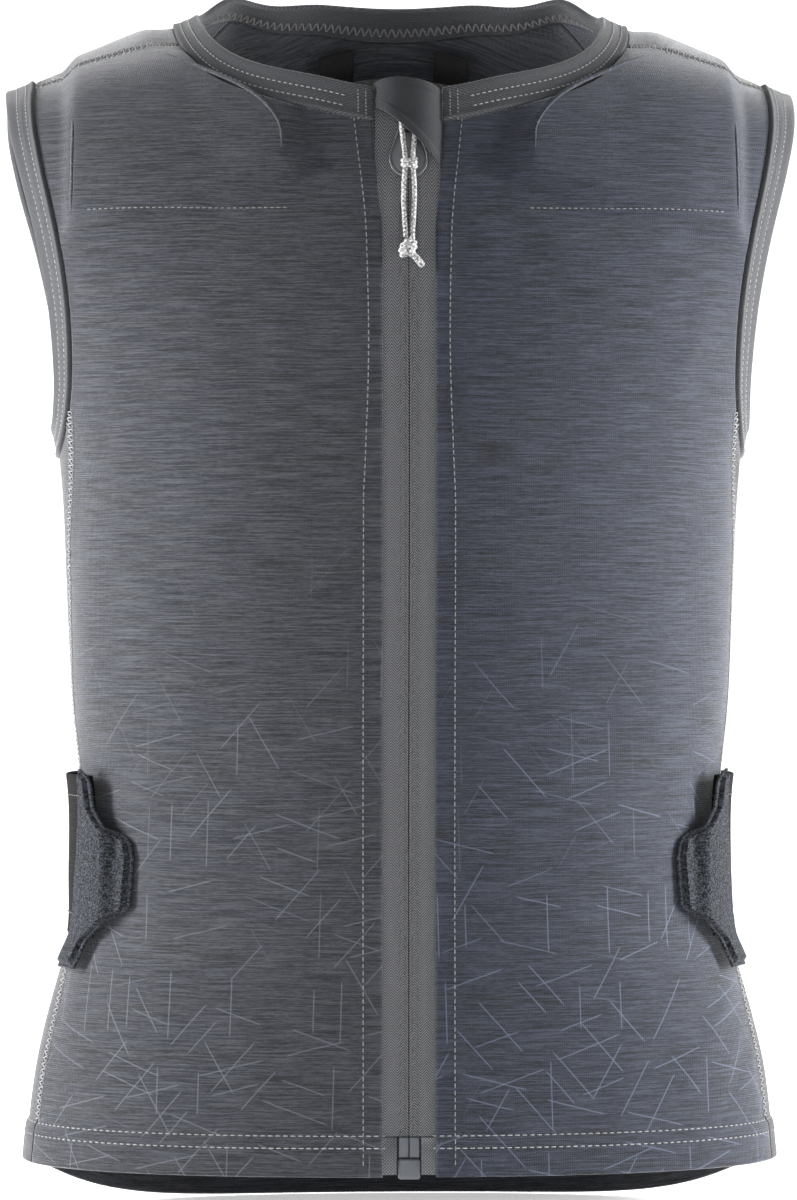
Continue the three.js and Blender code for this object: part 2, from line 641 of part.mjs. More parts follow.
function pocket() {
  const [rows, cols] = [10, 10];
  const height = PROTECTOR_HEIGHT + 2 * POCKET_MARGIN;
  return sheet(gridOf(rows, cols, (i, j) => {
    const down = (i - 1) / (rows - 2);
    const side = Math.abs(mix(-1, 1, j / cols));
    const rim = j === 0 || j === cols || i === rows;
    const half = PROTECTOR_HALF * read(PROTECTOR_OUTLINE, 'down', clamp(down), 'wide');
    const column = side === 1 ? half + POCKET_MARGIN : half * (side / 0.8);
    const x = Math.sign(j - cols / 2) * column;
    const below = i === 0 ? -POCKET_MARGIN : i === rows ? height - POCKET_MARGIN : down * PROTECTOR_HEIGHT;
    const flat = i === 0 ? PROTECTOR_FACE - 0.5 * PROTECTOR_FOAM : PROTECTOR_FACE - PROTECTOR_FOAM;
    const face = rim ? -CLOTH - LINER_CLEAR : flat - LINER_CLEAR;
    return stationAt(backInside(x, PROTECTOR_DOWN + below), face - POCKET_CLOTH, face);
  }));
}

// A hanger loop, wide tape folded flat, that hangs from the neck binding inside the back
function hangerLoop() {
  const rows = 4;
  return sheet(gridOf(rows, rows, (i, j) => {
    const x = LOOP_APART + mix(-1, 1, j / rows) * LOOP_HALF;
    const down = mix(GAP, LOOP_DROP, i / rows);
    return stationAt(backInside(x, down), -CLOTH - LOOP_CLEAR - LOOP, -CLOTH - LOOP_CLEAR);
  }));
}

// The zip: two tapes behind the folds, the coils behind the tapes, and the film at their ends
const FILM_Z = HEM_Z + END_FILM;
const ZIP_TOP = neckAt(0, 0)[1];
const ZIP_TOP_Z = skin(0, ZIP_TOP).z;
const downZip = (distance) => frontLevel(ZIP_TOP_Z - distance);
const SLIDER_LEVEL = downZip(SLIDER_DROP);
const SLIDER_LOW = downZip(SLIDER_DROP + SLIDER_LENGTH);
const SLIT_STEP = 0.05;
const ZIP_LEVELS = [
  levelAt(FILM_Z),
  ...LOW_LEVELS.slice(2),
  ...FOLD_LEVELS.slice(1),
].filter((level) => level < SLIDER_LOW - 2 * SLIT_STEP);
const zipStation = (x, level, inner, outer) => stationAt([angleAt(x, level), level], inner, outer);
function tape() {
  const narrow = ZIP_OPEN + ZIP_FLARE - 2 * GAP;
  const levels = [...ZIP_LEVELS, SLIDER_LOW - SLIT_STEP, SLIDER_LOW + SLIT_STEP, ZIP_TOP];
  return sheet(levels.map((level) => {
    const slit = level > SLIDER_LOW ? WEB_HALF + GAP : GAP / 2;
    const edge = mix(TAPE_HALF, narrow, smooth((level - NECK_TOP + 1) / 0.8));
    return [slit, ZIP_OPEN, edge].map((x) => zipStation(x, level, -TAPE_BELOW - TAPE, -TAPE_BELOW));
  }), { drawIn: SLIT_STEP / 2 });
}
const COIL_FACE = -TAPE_BELOW - TAPE - GAP;
function coil() {
  return sheet([...ZIP_LEVELS, SLIDER_LOW - SLIT_STEP].map((level) => (
    [GAP / 2, COIL_HALF].map((x) => zipStation(x, level, COIL_FACE - COIL, COIL_FACE))
  )), { drawIn: SLIT_STEP / 2 });
}

// Places a geometry made in its own x, up and out on the cloth's middle line
function seated(geometry, level) {
  const place = [0, level];
  const out = normalAt(place);
  const up = out.clone().cross(new THREE.Vector3(1, 0, 0)).normalize();
  const frame = new THREE.Matrix4().makeBasis(new THREE.Vector3(1, 0, 0), up, out);
  return geometry.applyMatrix4(frame.setPosition(skin(...place)));
}
function block(x, up, out) {
  const middle = [x, up, out].map(([a, b]) => (a + b) / 2);
  return new THREE.BoxGeometry(x[1] - x[0], up[1] - up[0], out[1] - out[0]).translate(...middle);
}
function asSolid(geometry) {
  const bare = geometry.clone();
  bare.deleteAttribute('normal');
  bare.deleteAttribute('uv');
  const merged = mergeVertices(bare, 0.0001);
  return new wasm.Manifold(new wasm.Mesh({
    numProp: 3,
    vertProperties: new Float32Array(merged.attributes.position.array),
    triVerts: new Uint32Array(merged.index.array),
  }));
}
function asGeometry(solid) {
  const mesh = solid.getMesh();
  return facingOut(Array.from(mesh.vertProperties), Array.from(mesh.triVerts));
}
const fused = (...geometries) => asGeometry(geometries.map(asSolid).reduce((a, b) => a.add(b)));

// The zip's lower end: the film on each tape, the two pins between them and the box below
const BOX_TOP = BOX_HEIGHT / 2;
function onHem(geometry) {
  return seated(geometry, levelAt(HEM_Z + 0.001));
}
function endFilm() {
  const low = -END_BELOW;
  return onHem(block([PIN_HALF + 2 * GAP, TAPE_HALF], [low, END_FILM - GAP], [-TAPE_BELOW - TAPE, -TAPE_BELOW]));
}
function endPin(inner, outer) {
  return onHem(block([inner, outer], [BOX_TOP + GAP, END_FILM - GAP], [-TAPE_BELOW - 2 * TAPE, -TAPE_BELOW + TAPE]));
}
function endBox() {
  const outline = new THREE.Shape();
  const round = 1.2;
  outline.absarc(BOX_HALF - round, BOX_TOP - round, round, 0, Math.PI / 2);
  outline.absarc(round - BOX_HALF, BOX_TOP - round, round, Math.PI / 2, Math.PI);
  outline.absarc(round - BOX_HALF, round - BOX_TOP, round, Math.PI, 1.5 * Math.PI);
  outline.absarc(BOX_HALF - round, round - BOX_TOP, round, 1.5 * Math.PI, 2 * Math.PI);
  const box = new THREE.ExtrudeGeometry(outline, { depth: BOX_DEEP, bevelEnabled: false, curveSegments: 3 });
  return onHem(box.translate(0, 0, -TAPE_BELOW - TAPE / 2 - BOX_DEEP / 2));
}

// The slider: a plate in front of the tapes and one behind the coils, joined above the closed part,
// with a bridge on the front that holds the puller
const FRONT_PLATE = [GAP - TAPE_BELOW, GAP - TAPE_BELOW + SLIDER_PLATE];
const BACK_PLATE = [COIL_FACE - COIL - GAP - SLIDER_PLATE, COIL_FACE - COIL - GAP];
const PULLER_FACE = FRONT_PLATE[1] + GAP;
const BRIDGE_UNDER = PULLER_FACE + PULLER + GAP;
const BRIDGE_TOP = BRIDGE_UNDER + BRIDGE_BAR;
const EYE_BAR = BRIDGE_LENGTH - 2 * BRIDGE_BAR - 2 * GAP;
function slider() {
  const wide = [-SLIDER_HALF, SLIDER_HALF];
  const long = [-SLIDER_LENGTH, 0];
  const web = [-WEB_HALF, WEB_HALF];
  const leg = [-BRIDGE_HALF, BRIDGE_HALF];
  const bridgeLow = -SLIDER_LENGTH / 2 - BRIDGE_LENGTH / 2;
  const bridgeHigh = bridgeLow + BRIDGE_LENGTH;
  const sunk = FRONT_PLATE[0] + 0.1;
  return seated(fused(
    block(wide, long, FRONT_PLATE),
    block(wide, long, BACK_PLATE),
    block(web, [-SLIDER_LENGTH * 0.6, -0.2], [BACK_PLATE[0] + 0.1, sunk + 0.1]),
    block(leg, [bridgeLow, bridgeLow + BRIDGE_BAR], [sunk, BRIDGE_TOP]),
    block(leg, [bridgeHigh - BRIDGE_BAR, bridgeHigh], [sunk, BRIDGE_TOP]),
    block(leg, [bridgeLow, bridgeHigh], [BRIDGE_UNDER, BRIDGE_TOP]),
  ), SLIDER_LEVEL);
}

// The puller: a flat drop whose eye bar lies under the bridge
const EYE_TOP = -SLIDER_LENGTH / 2 + BRIDGE_LENGTH / 2 - BRIDGE_BAR - GAP;
const EYE_LOW = EYE_TOP - EYE_BAR;
const DROP_CENTRE = EYE_TOP - PULLER_LENGTH;
function puller() {
  const outline = new THREE.Shape();
  const lean = Math.asin((PULLER_RADIUS - PULLER_EYE) / PULLER_LENGTH);
  outline.absarc(0, DROP_CENTRE, PULLER_RADIUS, Math.PI - lean, 2 * Math.PI + lean);
  outline.lineTo(PULLER_EYE, EYE_TOP - 1);
  outline.lineTo(PULLER_EYE - 1, EYE_TOP);
  outline.lineTo(1 - PULLER_EYE, EYE_TOP);
  outline.lineTo(-PULLER_EYE, EYE_TOP - 1);
  const hole = new THREE.Path();
  const holeHalf = BRIDGE_HALF + GAP;
  hole.moveTo(-holeHalf, EYE_LOW);
  hole.lineTo(holeHalf, EYE_LOW);
  hole.lineTo(holeHalf, EYE_LOW - BRIDGE_BAR - 2 * GAP);
  hole.lineTo(-holeHalf, EYE_LOW - BRIDGE_BAR - 2 * GAP);
  outline.holes.push(hole);
  const plate = new THREE.ExtrudeGeometry(outline, { depth: PULLER, bevelEnabled: false, curveSegments: 20 });
  return seated(plate.translate(0, 0, PULLER_FACE), SLIDER_LEVEL);
}

// The cord that is looped over the bridge: two strands side by side, held by a wrap and a knot.
// Each point is given across, down from the zip's top and out from the cloth, and chosen by hand.
const CORD_ROUTE = [
  [0.45, 8.7, 0.9],
  [1.6, 9, 0.9],
  [2.6, 10.1, 1.2],
  [3, 12.3, 2.1],
  [2.9, 15, 2.9],
  [2.6, 19, 3.5],
  [2.1, 24, 4],
  [1.6, 28.5, 4.5],
  [1.4, 32.2, 4.6],
  [1.7, 35.8, 4.5],
  [2.1, 40.5, 3.7],
  [2.2, 46.5, 2],
  [1.9, 53, 0.9],
  [1.5, 58.6, 0.5],
  [1.35, 62.2, 0.6],
];
const WRAP_POINT = CORD_ROUTE[8];
const WRAP_HEIGHT = 3.6;
const WRAP_SIDE = 1.4;
const WRAP_FRONT = 1.7;
const WRAP_BACK = 0.6;
const KNOT_HALF = [4.3, 4, 3.3];
const KNOT_ASIDE = -0.6;
const TAIL_RADIUS = 1.5;
const TAIL_LENGTH = 7;
const TAIL_TURN = 42;
const TAIL_MIDDLE = [3.8, -4.9, -0.4];
function overZip([x, down, out]) {
  const station = zipStation(x, downZip(down), 0, out);
  return station.point.addScaledVector(station.out, out);
}
function cordStrand() {
  const route = new THREE.CatmullRomCurve3(CORD_ROUTE.map(overZip));
  const around = new THREE.Shape();
  const sides = 8;
  for (let n = 0; n < sides; n += 1) {
    const turn = (2 * Math.PI * n) / sides;
    const corner = [(CORD / 2) * Math.cos(turn), (CORD / 2) * Math.sin(turn)];
    if (n) around.lineTo(...corner);
    else around.moveTo(...corner);
  }
  around.closePath();
  return new THREE.ExtrudeGeometry(around, { extrudePath: route, steps: 17, bevelEnabled: false });
}
function stadium(halfWide, halfDeep, height, out) {
  const outline = new THREE.Shape();
  const round = Math.min(halfWide, halfDeep);
  outline.absarc(halfWide - round, 0, round, -Math.PI / 2, Math.PI / 2);
  outline.absarc(round - halfWide, 0, round, Math.PI / 2, 1.5 * Math.PI);
  const solid = new THREE.ExtrudeGeometry(outline, { depth: height, bevelEnabled: false, curveSegments: 6 });
  return solid.rotateX(Math.PI / 2).translate(0, height / 2, out);
}
function cordWrap() {
  const [across, down, out] = WRAP_POINT;
  const [inHalf, inDeep] = [across + CORD / 2 + GAP, CORD / 2 + GAP];
  const deep = inDeep + (WRAP_FRONT + WRAP_BACK) / 2;
  const outer = stadium(inHalf + WRAP_SIDE, deep, WRAP_HEIGHT, out + (WRAP_FRONT - WRAP_BACK) / 2);
  const inner = stadium(inHalf, inDeep, WRAP_HEIGHT + 2, out);
  return seated(asGeometry(asSolid(outer).subtract(asSolid(inner))), downZip(down));
}
function cordKnot() {
  const [, down, out] = CORD_ROUTE[CORD_ROUTE.length - 1];
  const knot = new THREE.SphereGeometry(1, 10, 7).scale(...KNOT_HALF).translate(KNOT_ASIDE, 0, 0);
  const tail = new THREE.CylinderGeometry(TAIL_RADIUS, TAIL_RADIUS, TAIL_LENGTH, 8);
  tail.rotateZ(radians(TAIL_TURN)).translate(...TAIL_MIDDLE);
  return seated(fused(knot, tail).translate(0, 0, out + 0.8), downZip(down + KNOT_HALF[1] + 2 * GAP));
}

// The garage: a flap of cloth over the slider, cut off in a slant below
function garage() {
  const [rows, cols] = [6, 8];
  const bulge = BRIDGE_TOP + CORD + 6 * GAP;
  return sheet(gridOf(rows, cols, (i, j) => {
    const across = mix(-1, 1, j / cols);
    const high = mix(-GARAGE_RISE, -1, j / cols);
    const low = mix(0.2 * GARAGE_LOW, GARAGE_LOW, j / cols);
    const level = downZip(mix(high, low, i / rows));
    const edge = ZIP_OPEN + ZIP_FLARE * smooth(1 - (section(NECK_TOP)[0] - section(level)[0]) / ZIP_FLARE_HEIGHT);
    const inner = mix(bulge, 2 * GAP - TAPE_BELOW, Math.abs(across) ** 3);
    return zipStation(across * (edge - GAP), level, inner, inner + GARAGE);
  }), { drawIn: 0 });
}

// The belt: one elastic band round the back, whose ends lie under the tabs at the front
const BELT_START = radians(70);
const TAB_BEND = radians(60);
const beltOut = (up) => BELT_CLEAR + BELT_STAND * up;
function belt() {
  const cols = 26;
  return sheet(gridOf(BELT_ROWS, cols, (i, j) => {
    const angle = mix(BELT_START - Math.PI, Math.PI - BELT_START, j / cols);
    const out = beltOut(i / BELT_ROWS);
    return stationAt([angle, 2 * RIDGE - BELT_LEVELS[i]], out, out + BELT);
  }));
}

// A tab: thick felt, sewn to the front panel and over the belt's end
function beltTab() {
  const cols = 6;
  return sheet(TAB_OUTLINE.map((row) => Array.from({ length: cols + 1 }, (_, j) => {
    const z = -TAB_TOP - TAB_HEIGHT * row.down;
    const level = levelAt(z);
    const angle = mix(angleAt(row.inner * WAIST_HALF, level), radians(row.outer), j / cols);
    const up = clamp(1 + (z + BELT_TOP) / BELT_HEIGHT);
    const out = BELT_CLEAR + smooth((angle - TAB_BEND) / (BELT_START - TAB_BEND - 0.1)) * (beltOut(up) + BELT);
    const edge = j === 0 || j === cols || row.down === 0 || row.down === 1;
    return stationAt([angle, level], out, out + (edge ? 0.6 : 1) * TAB);
  })));
}

// The finishes
const finish = (color, roughness, metalness = 0) => new THREE.MeshStandardMaterial({ color, roughness, metalness });
const heather = finish(0x4f5157, 0.9);
const bindingCloth = finish(0x515357, 0.85);
const tapeCloth = finish(0x65676b, 0.8);
const coilPlastic = finish(0x565759, 0.5);
const boxPlastic = finish(0x5f636b, 0.5);
const film = finish(0x5b5e64, 0.4);
const sliderMetal = finish(0x4a4b4e, 0.4, 0.8);
const pullerPlastic = finish(0x55575b, 0.5);
const cordCloth = finish(0xbfc1c4, 0.8);
const garageCloth = finish(0x3f434d, 0.85);
const elastic = finish(0x1c1d20, 0.7);
const felt = finish(0x444952, 1);
const foam = finish(0x232529, 0.9);
const pocketCloth = finish(0x232529, 0.8);
const loopCloth = finish(0x161719, 0.8);

const vest = new THREE.Group();
function add(name, geometry, material) {
  const mesh = new THREE.Mesh(geometry, material);
  mesh.name = name;
  vest.add(mesh);
}
// The other side's copy of a piece, mirrored through the middle plane
function mirrored(geometry) {
  const positions = Array.from(geometry.attributes.position.array, (v, n) => (n % 3 ? v : -v));
  const count = positions.length / 3;
  const index = geometry.index ? Array.from(geometry.index.array) : Array.from({ length: count }, (_, n) => n);
  return facingOut(positions, index);
}
function addPair(name, geometry, material) {
  add(`${name}_left`, geometry, material);
  add(`${name}_right`, mirrored(geometry), material);
}

addPair('front_panel', frontPanel(), heather);
add('back_panel', backPanel(), heather);
addPair('shoulder_yoke', yoke(), heather);
add('neck_binding', neckBinding(), bindingCloth);
addPair('armhole_binding', armBinding(), bindingCloth);
addPair('shoulder_pad', shoulderPad(), foam);
add('back_protector', protector(), foam);
add('protector_pocket', pocket(), pocketCloth);
addPair('hanger_loop', hangerLoop(), loopCloth);
addPair('zip_tape', tape(), tapeCloth);
addPair('zip_coil', coil(), coilPlastic);
addPair('tape_end', endFilm(), film);
addPair('end_pin', endPin(GAP / 2, PIN_HALF), boxPlastic);
add('end_box', endBox(), boxPlastic);
add('zip_slider', slider(), sliderMetal);
add('zip_puller', puller(), pullerPlastic);
addPair('cord_strand', cordStrand(), cordCloth);
add('cord_wrap', cordWrap(), cordCloth);
add('cord_knot', cordKnot(), cordCloth);
add('zip_garage', garage(), garageCloth);
add('kidney_belt', belt(), elastic);
addPair('belt_tab', beltTab(), felt);

export default vest;
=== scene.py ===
# A protective vest in stretch cloth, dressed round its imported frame. Sizes are in millimetres and are
# turned into metres where a mesh is made. The front faces -Y, and +X is the wearer's left.
import math

import bmesh
import bpy
import numpy as np
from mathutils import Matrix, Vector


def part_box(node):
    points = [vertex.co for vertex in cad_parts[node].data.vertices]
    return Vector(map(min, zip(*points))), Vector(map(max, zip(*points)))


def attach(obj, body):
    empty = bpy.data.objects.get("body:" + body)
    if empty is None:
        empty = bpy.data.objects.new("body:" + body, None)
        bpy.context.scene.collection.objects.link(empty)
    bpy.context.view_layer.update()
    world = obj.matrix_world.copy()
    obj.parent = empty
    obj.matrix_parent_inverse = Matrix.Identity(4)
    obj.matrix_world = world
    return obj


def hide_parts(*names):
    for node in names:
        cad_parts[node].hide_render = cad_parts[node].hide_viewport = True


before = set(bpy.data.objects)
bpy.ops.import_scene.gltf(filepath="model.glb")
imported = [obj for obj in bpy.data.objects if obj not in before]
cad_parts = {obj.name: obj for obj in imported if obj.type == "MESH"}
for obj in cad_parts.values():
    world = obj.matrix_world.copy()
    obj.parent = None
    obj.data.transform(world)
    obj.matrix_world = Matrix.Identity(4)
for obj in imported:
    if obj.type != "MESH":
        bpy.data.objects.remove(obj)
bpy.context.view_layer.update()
MM = 0.001

# The camera
# It stands 2.2 m in front of the chest, a little to the wearer's right, and looks straight on. Its
# frame is 516 mm tall at the middle of the vest, as in the photograph.
CAMERA_AWAY = 2.2
CAMERA_TURN = math.radians(-2.5)
CAMERA_ASIDE = -0.00065
FRAME_MIDDLE = -0.2485
FRAME_TALL = 0.516
SENSOR = 36
camera = bpy.data.objects.new("Camera", bpy.data.cameras.new("Camera"))
bpy.context.scene.collection.objects.link(camera)
bpy.context.scene.camera = camera
camera.data.sensor_width = SENSOR
camera.data.lens = SENSOR * CAMERA_AWAY / FRAME_TALL
along, ahead = math.cos(CAMERA_TURN), math.sin(CAMERA_TURN)
camera.location = (
    CAMERA_ASIDE * along + CAMERA_AWAY * ahead,
    CAMERA_ASIDE * ahead - CAMERA_AWAY * along,
    FRAME_MIDDLE,
)
camera.rotation_euler = (math.pi / 2, 0, CAMERA_TURN)


# The puller's cord
# A braided polyester cord, 2.15 mm thick, is looped over the slider's bridge. Its two strands hang side
# by side, held by two turns of the cord in front of the puller and by a knot at the end.
class Value:
    """A value, colour or shape in a material or a stitch pattern, for maths in plain expressions."""

    def __init__(self, tree, socket=None):
        self.tree = tree
        self.socket = socket

    def node(self, kind, settings=None, sockets=None, output=0):
        """Adds a node: its settings first, then the values or links of its sockets."""
        node = self.tree.nodes.new(kind)
        for name, value in (settings or {}).items():
            if name == "stops":
                ramp = node.color_ramp
                while len(ramp.elements) < len(value):
                    ramp.elements.new(1)
                for stop, (place, colour) in zip(ramp.elements, value):
                    stop.position = place
                    stop.color = (*colour, 1)
            else:
                setattr(node, name, value)
        for name, value in (sockets or {}).items():
            if isinstance(value, Value):
                self.tree.links.new(value.socket, node.inputs[name])
            else:
                node.inputs[name].default_value = value
        return Value(self.tree, node.outputs[output])

    def math(self, operation, *values):
        return self.node("ShaderNodeMath", {"operation": operation}, dict(enumerate(values)))

    def __add__(self, other):
        return self.math("ADD", self, other)

    def __mul__(self, other):
        return self.math("MULTIPLY", self, other)

    def __sub__(self, other):
        return self.math("SUBTRACT", self, other)

    def __rsub__(self, other):
        return self.math("SUBTRACT", other, self)

    def __truediv__(self, other):
        return self.math("DIVIDE", self, other)

    def __mod__(self, other):
        return self.math("FLOORED_MODULO", self, other)

    def __abs__(self):
        return self.math("ABSOLUTE", self)

    __radd__ = __add__
    __rmul__ = __mul__

    def wave(self):
        """A wave from 0 to 1 as this value goes from 0 to 1."""
        return self.math("SINE", self * (2 * math.pi)) * 0.5 + 0.5

    def rise(self, low, high):
        """0 below low, 1 above high, and smooth between them."""
        settings = {"interpolation_type": "SMOOTHSTEP"}
        return self.node("ShaderNodeMapRange", settings, {"Value": self, "From Min": low, "From Max": high})


class Finish:
    """A material: its shader, and what feeds it."""

    def __init__(self, name, constants):
        self.material = bpy.data.materials.new(name)
        self.material.use_nodes = True
        self.tree = self.material.node_tree
        self.shader = self.tree.nodes["Principled BSDF"]
        self.start = Value(self.tree)
        for socket, value in constants.items():
            self.shader.inputs[socket].default_value = value

    def feed(self, socket, value):
        self.tree.links.new(value.socket, self.shader.inputs[socket])

    def cut(self):
        """Across and along the cloth, in millimetres, from the piece's own UV map."""
        place = self.start.node("ShaderNodeUVMap", {"uv_map": "Cut"})
        parts = [place.node("ShaderNodeSeparateXYZ", None, {0: place}, n) for n in (0, 1)]
        return [part * (1 / MM) for part in parts]

    def spot(self):
        """The place on the vest, in millimetres."""
        place = self.start.node("ShaderNodeTexCoord", None, None, 3)
        return [place.node("ShaderNodeSeparateXYZ", None, {0: place}, n) * (1 / MM) for n in range(3)]

    def speckle(self, across, up, out=0.0, detail=2.0, seed=0.0, roughness=0.5):
        """Noise from 0 to 1 on two or three numbers, which are counted in grains."""
        place = self.start.node("ShaderNodeCombineXYZ", None, {0: across, 1: up, 2: out})
        settings = {"noise_dimensions": "4D"}
        sockets = {"Vector": place, "W": seed, "Scale": 1.0, "Detail": detail, "Roughness": roughness}
        return self.start.node("ShaderNodeTexNoise", settings, sockets)

    def blend(self, share, low, high):
        """A colour between two others."""
        pair = [colour if isinstance(colour, Value) else (*colour, 1) for colour in (low, high)]
        sockets = {0: share, 6: pair[0], 7: pair[1]}
        return self.start.node("ShaderNodeMix", {"data_type": "RGBA"}, sockets, 2)

    def relief(self, height, depth):
        """Bumps from a height from 0 to 1, in millimetres deep."""
        bump = self.start.node("ShaderNodeBump", None, {"Height": height, "Distance": depth * MM})
        self.feed("Normal", bump)


def grey(level, tint=(1.0, 1.0, 1.0)):
    """A linear colour from a screen brightness from 0 to 255, with a tint."""
    return tuple((level * part / 255) ** 2.2 for part in tint)


def smooth(t):
    t = np.clip(t, 0, 1)
    return t * t * (3 - 2 * t)


def run_along(points):
    """How far along a line each of its points is."""
    return np.concatenate([[0], np.cumsum(np.linalg.norm(np.diff(points, axis=0), axis=1))])


def smooth_path(points, step):
    """A smooth curve through points, at even steps."""
    points = np.array(points, float)
    ends = [2 * points[0] - points[1], *points, 2 * points[-1] - points[-2]]
    fine = []
    for a, b, c, d in zip(ends, ends[1:], ends[2:], ends[3:]):
        for f in np.arange(0, 1, 0.05):
            fine.append(0.5 * (2 * b + (c - a) * f + (2 * a - 5 * b + 4 * c - d) * f**2
                               + (3 * b - a - 3 * c + d) * f**3))
    fine = np.array([*fine, points[-1]])
    run = run_along(fine)
    places = np.linspace(0, run[-1], max(2, round(run[-1] / step) + 1))
    return np.stack([np.interp(places, run, fine[:, n]) for n in range(3)], -1)


def make_piece(name, points, faces, cut, finish, sharp=50):
    """A mesh from points in millimetres, with a UV map of the place of each point on its cloth."""
    mesh = bpy.data.meshes.new(name)
    mesh.from_pydata((np.asarray(points) * MM).tolist(), [], faces)
    layer = mesh.uv_layers.new(name="Cut")
    corners = np.empty(len(mesh.loops), int)
    mesh.loops.foreach_get("vertex_index", corners)
    layer.data.foreach_set("uv", (np.asarray(cut, float)[corners] * MM).ravel())
    mesh.polygons.foreach_set("use_smooth", [True] * len(mesh.polygons))
    mesh.set_sharp_from_angle(angle=math.radians(sharp))
    mesh.materials.append(finish.material)
    piece = bpy.data.objects.new(name, mesh)
    bpy.context.scene.collection.objects.link(piece)
    return piece


def fit(piece, slot, *nodes):
    """The piece moves with the vest and stands for its nodes. The slot is not used."""
    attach(piece, "root")
    if nodes:
        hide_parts(*nodes)
    return piece


def grid_faces(rows, cols, ring=False, start=0):
    """The faces of a grid of points, row by row."""
    faces = []
    for i in range(rows if ring else rows - 1):
        here, after = start + i * cols, start + (i + 1) % rows * cols
        faces += [(here + j, here + j + 1, after + j + 1, after + j) for j in range(cols - 1)]
    return faces


def tube(path, radius, sides=12, squash=1.0):
    """A closed round tube along a path: points, faces and places on the skin."""
    path = np.asarray(path, float)
    run = run_along(path)
    ahead = np.gradient(path, axis=0)
    ahead /= np.linalg.norm(ahead, axis=1)[:, None]
    side = np.cross(ahead[0], (0, 0.3, 1))
    points, cut = [], []
    radii = np.broadcast_to(radius, len(path))
    for place, way, r, at in zip(path, ahead, radii, run):
        side = side - way * side.dot(way)
        side /= np.linalg.norm(side)
        other = np.cross(way, side)
        for n in range(sides + 1):
            turn = 2 * math.pi * n / sides
            points.append(place + r * (math.cos(turn) * side + squash * math.sin(turn) * other))
            cut.append((n / sides * 2 * math.pi * np.mean(radii), at))
    faces = grid_faces(len(path), sides + 1)
    for ring, end in ((0, path[0]), (len(path) - 1, path[-1])):
        points.append(end)
        cut.append((0, run[ring]))
        for n in range(sides):
            pair = (ring * (sides + 1) + n, ring * (sides + 1) + n + 1)
            faces.append((*(pair if ring == 0 else pair[::-1]), len(points) - 1)[::-1])
    return points, faces, cut


def closed(piece):
    """Merges a mesh's doubled points and turns its faces outwards."""
    form = bmesh.new()
    form.from_mesh(piece.data)
    bmesh.ops.remove_doubles(form, verts=form.verts, dist=2e-6)
    bmesh.ops.recalc_face_normals(form, faces=form.faces)
    form.to_mesh(piece.data)
    form.free()
    return piece


def joined(*parts):
    """Several parts' points, faces and places as one."""
    points, faces, cut = [], [], []
    for more, around, places in parts:
        faces += [tuple(n + len(points) for n in face) for face in around]
        points += list(more)
        cut += list(places)
    return points, faces, cut


CORD = 2.15
CORD_ROUTE = [
    (0.00045, -0.07666, -0.04488), (0.00160, -0.07674, -0.04520), (0.00260, -0.07731, -0.04625),
    (0.00301, -0.07872, -0.04826), (0.00291, -0.08012, -0.05081), (0.00261, -0.08157, -0.05473),
    (0.00211, -0.08306, -0.05968), (0.00161, -0.08438, -0.06413), (0.00141, -0.08513, -0.06785),
    (0.00171, -0.08563, -0.07149), (0.00211, -0.08559, -0.07635), (0.00220, -0.08483, -0.08263),
    (0.00190, -0.08463, -0.08930), (0.00150, -0.08492, -0.09495), (0.00135, -0.08544, -0.09854),
]
BRAID_PITCH = 1.9

braid = Finish("cord_braid", {"Roughness": 0.75, "Sheen Weight": 0.3})
around, run = braid.cut()
crossing = (around / (math.pi * CORD / 3) + run / BRAID_PITCH).wave()
crossing = crossing * (around / (math.pi * CORD / 3) - run / BRAID_PITCH).wave()
fleck = braid.speckle(around * 0.9, run * 1.1, detail=3.0).rise(0.5, 0.6)
braid.feed("Base Color", braid.blend(fleck, braid.blend(crossing, grey(118), grey(182)), grey(62)))
braid.relief(crossing, 0.25)

SIDES = ((1, "left"), (-1, "right"))
strands = []
for side, name in SIDES:
    route = smooth_path([(side * x / MM, y / MM, z / MM) for x, y, z in CORD_ROUTE], 0.45)
    piece = make_piece(f"cord_strand_{name}", *tube(route, CORD / 2, 16), braid)
    strands.append((fit(closed(piece), "cord_braid", f"cord_strand_{name}"), route))

WRAP_CORD = 0.95
WRAP_SIDE = 2.6
WRAP_DEEP = 1.42
WRAP_RISE = 1.755
wrap_low, wrap_high = (np.array(corner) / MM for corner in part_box("cord_wrap"))
wrap_middle = (wrap_low + wrap_high) / 2
OUT_AT_WRAP = np.array((0, -0.98605, 0.16643))
UP_AT_WRAP = np.cross(OUT_AT_WRAP, (1, 0, 0))
turns = []
for t in np.linspace(0, 2, 90):
    turn = 2 * math.pi * t
    across = WRAP_SIDE * math.copysign(abs(math.cos(turn)) ** 0.8, math.cos(turn))
    out = WRAP_DEEP * math.sin(turn) + 0.3
    up = (t - 1) * WRAP_RISE
    turns.append(wrap_middle + (across, 0, 0) + UP_AT_WRAP * up + OUT_AT_WRAP * out)
wrap = make_piece("cord_wrap", *tube(turns, WRAP_CORD, 12), braid)
fit(closed(wrap), "cord_braid", "cord_wrap")

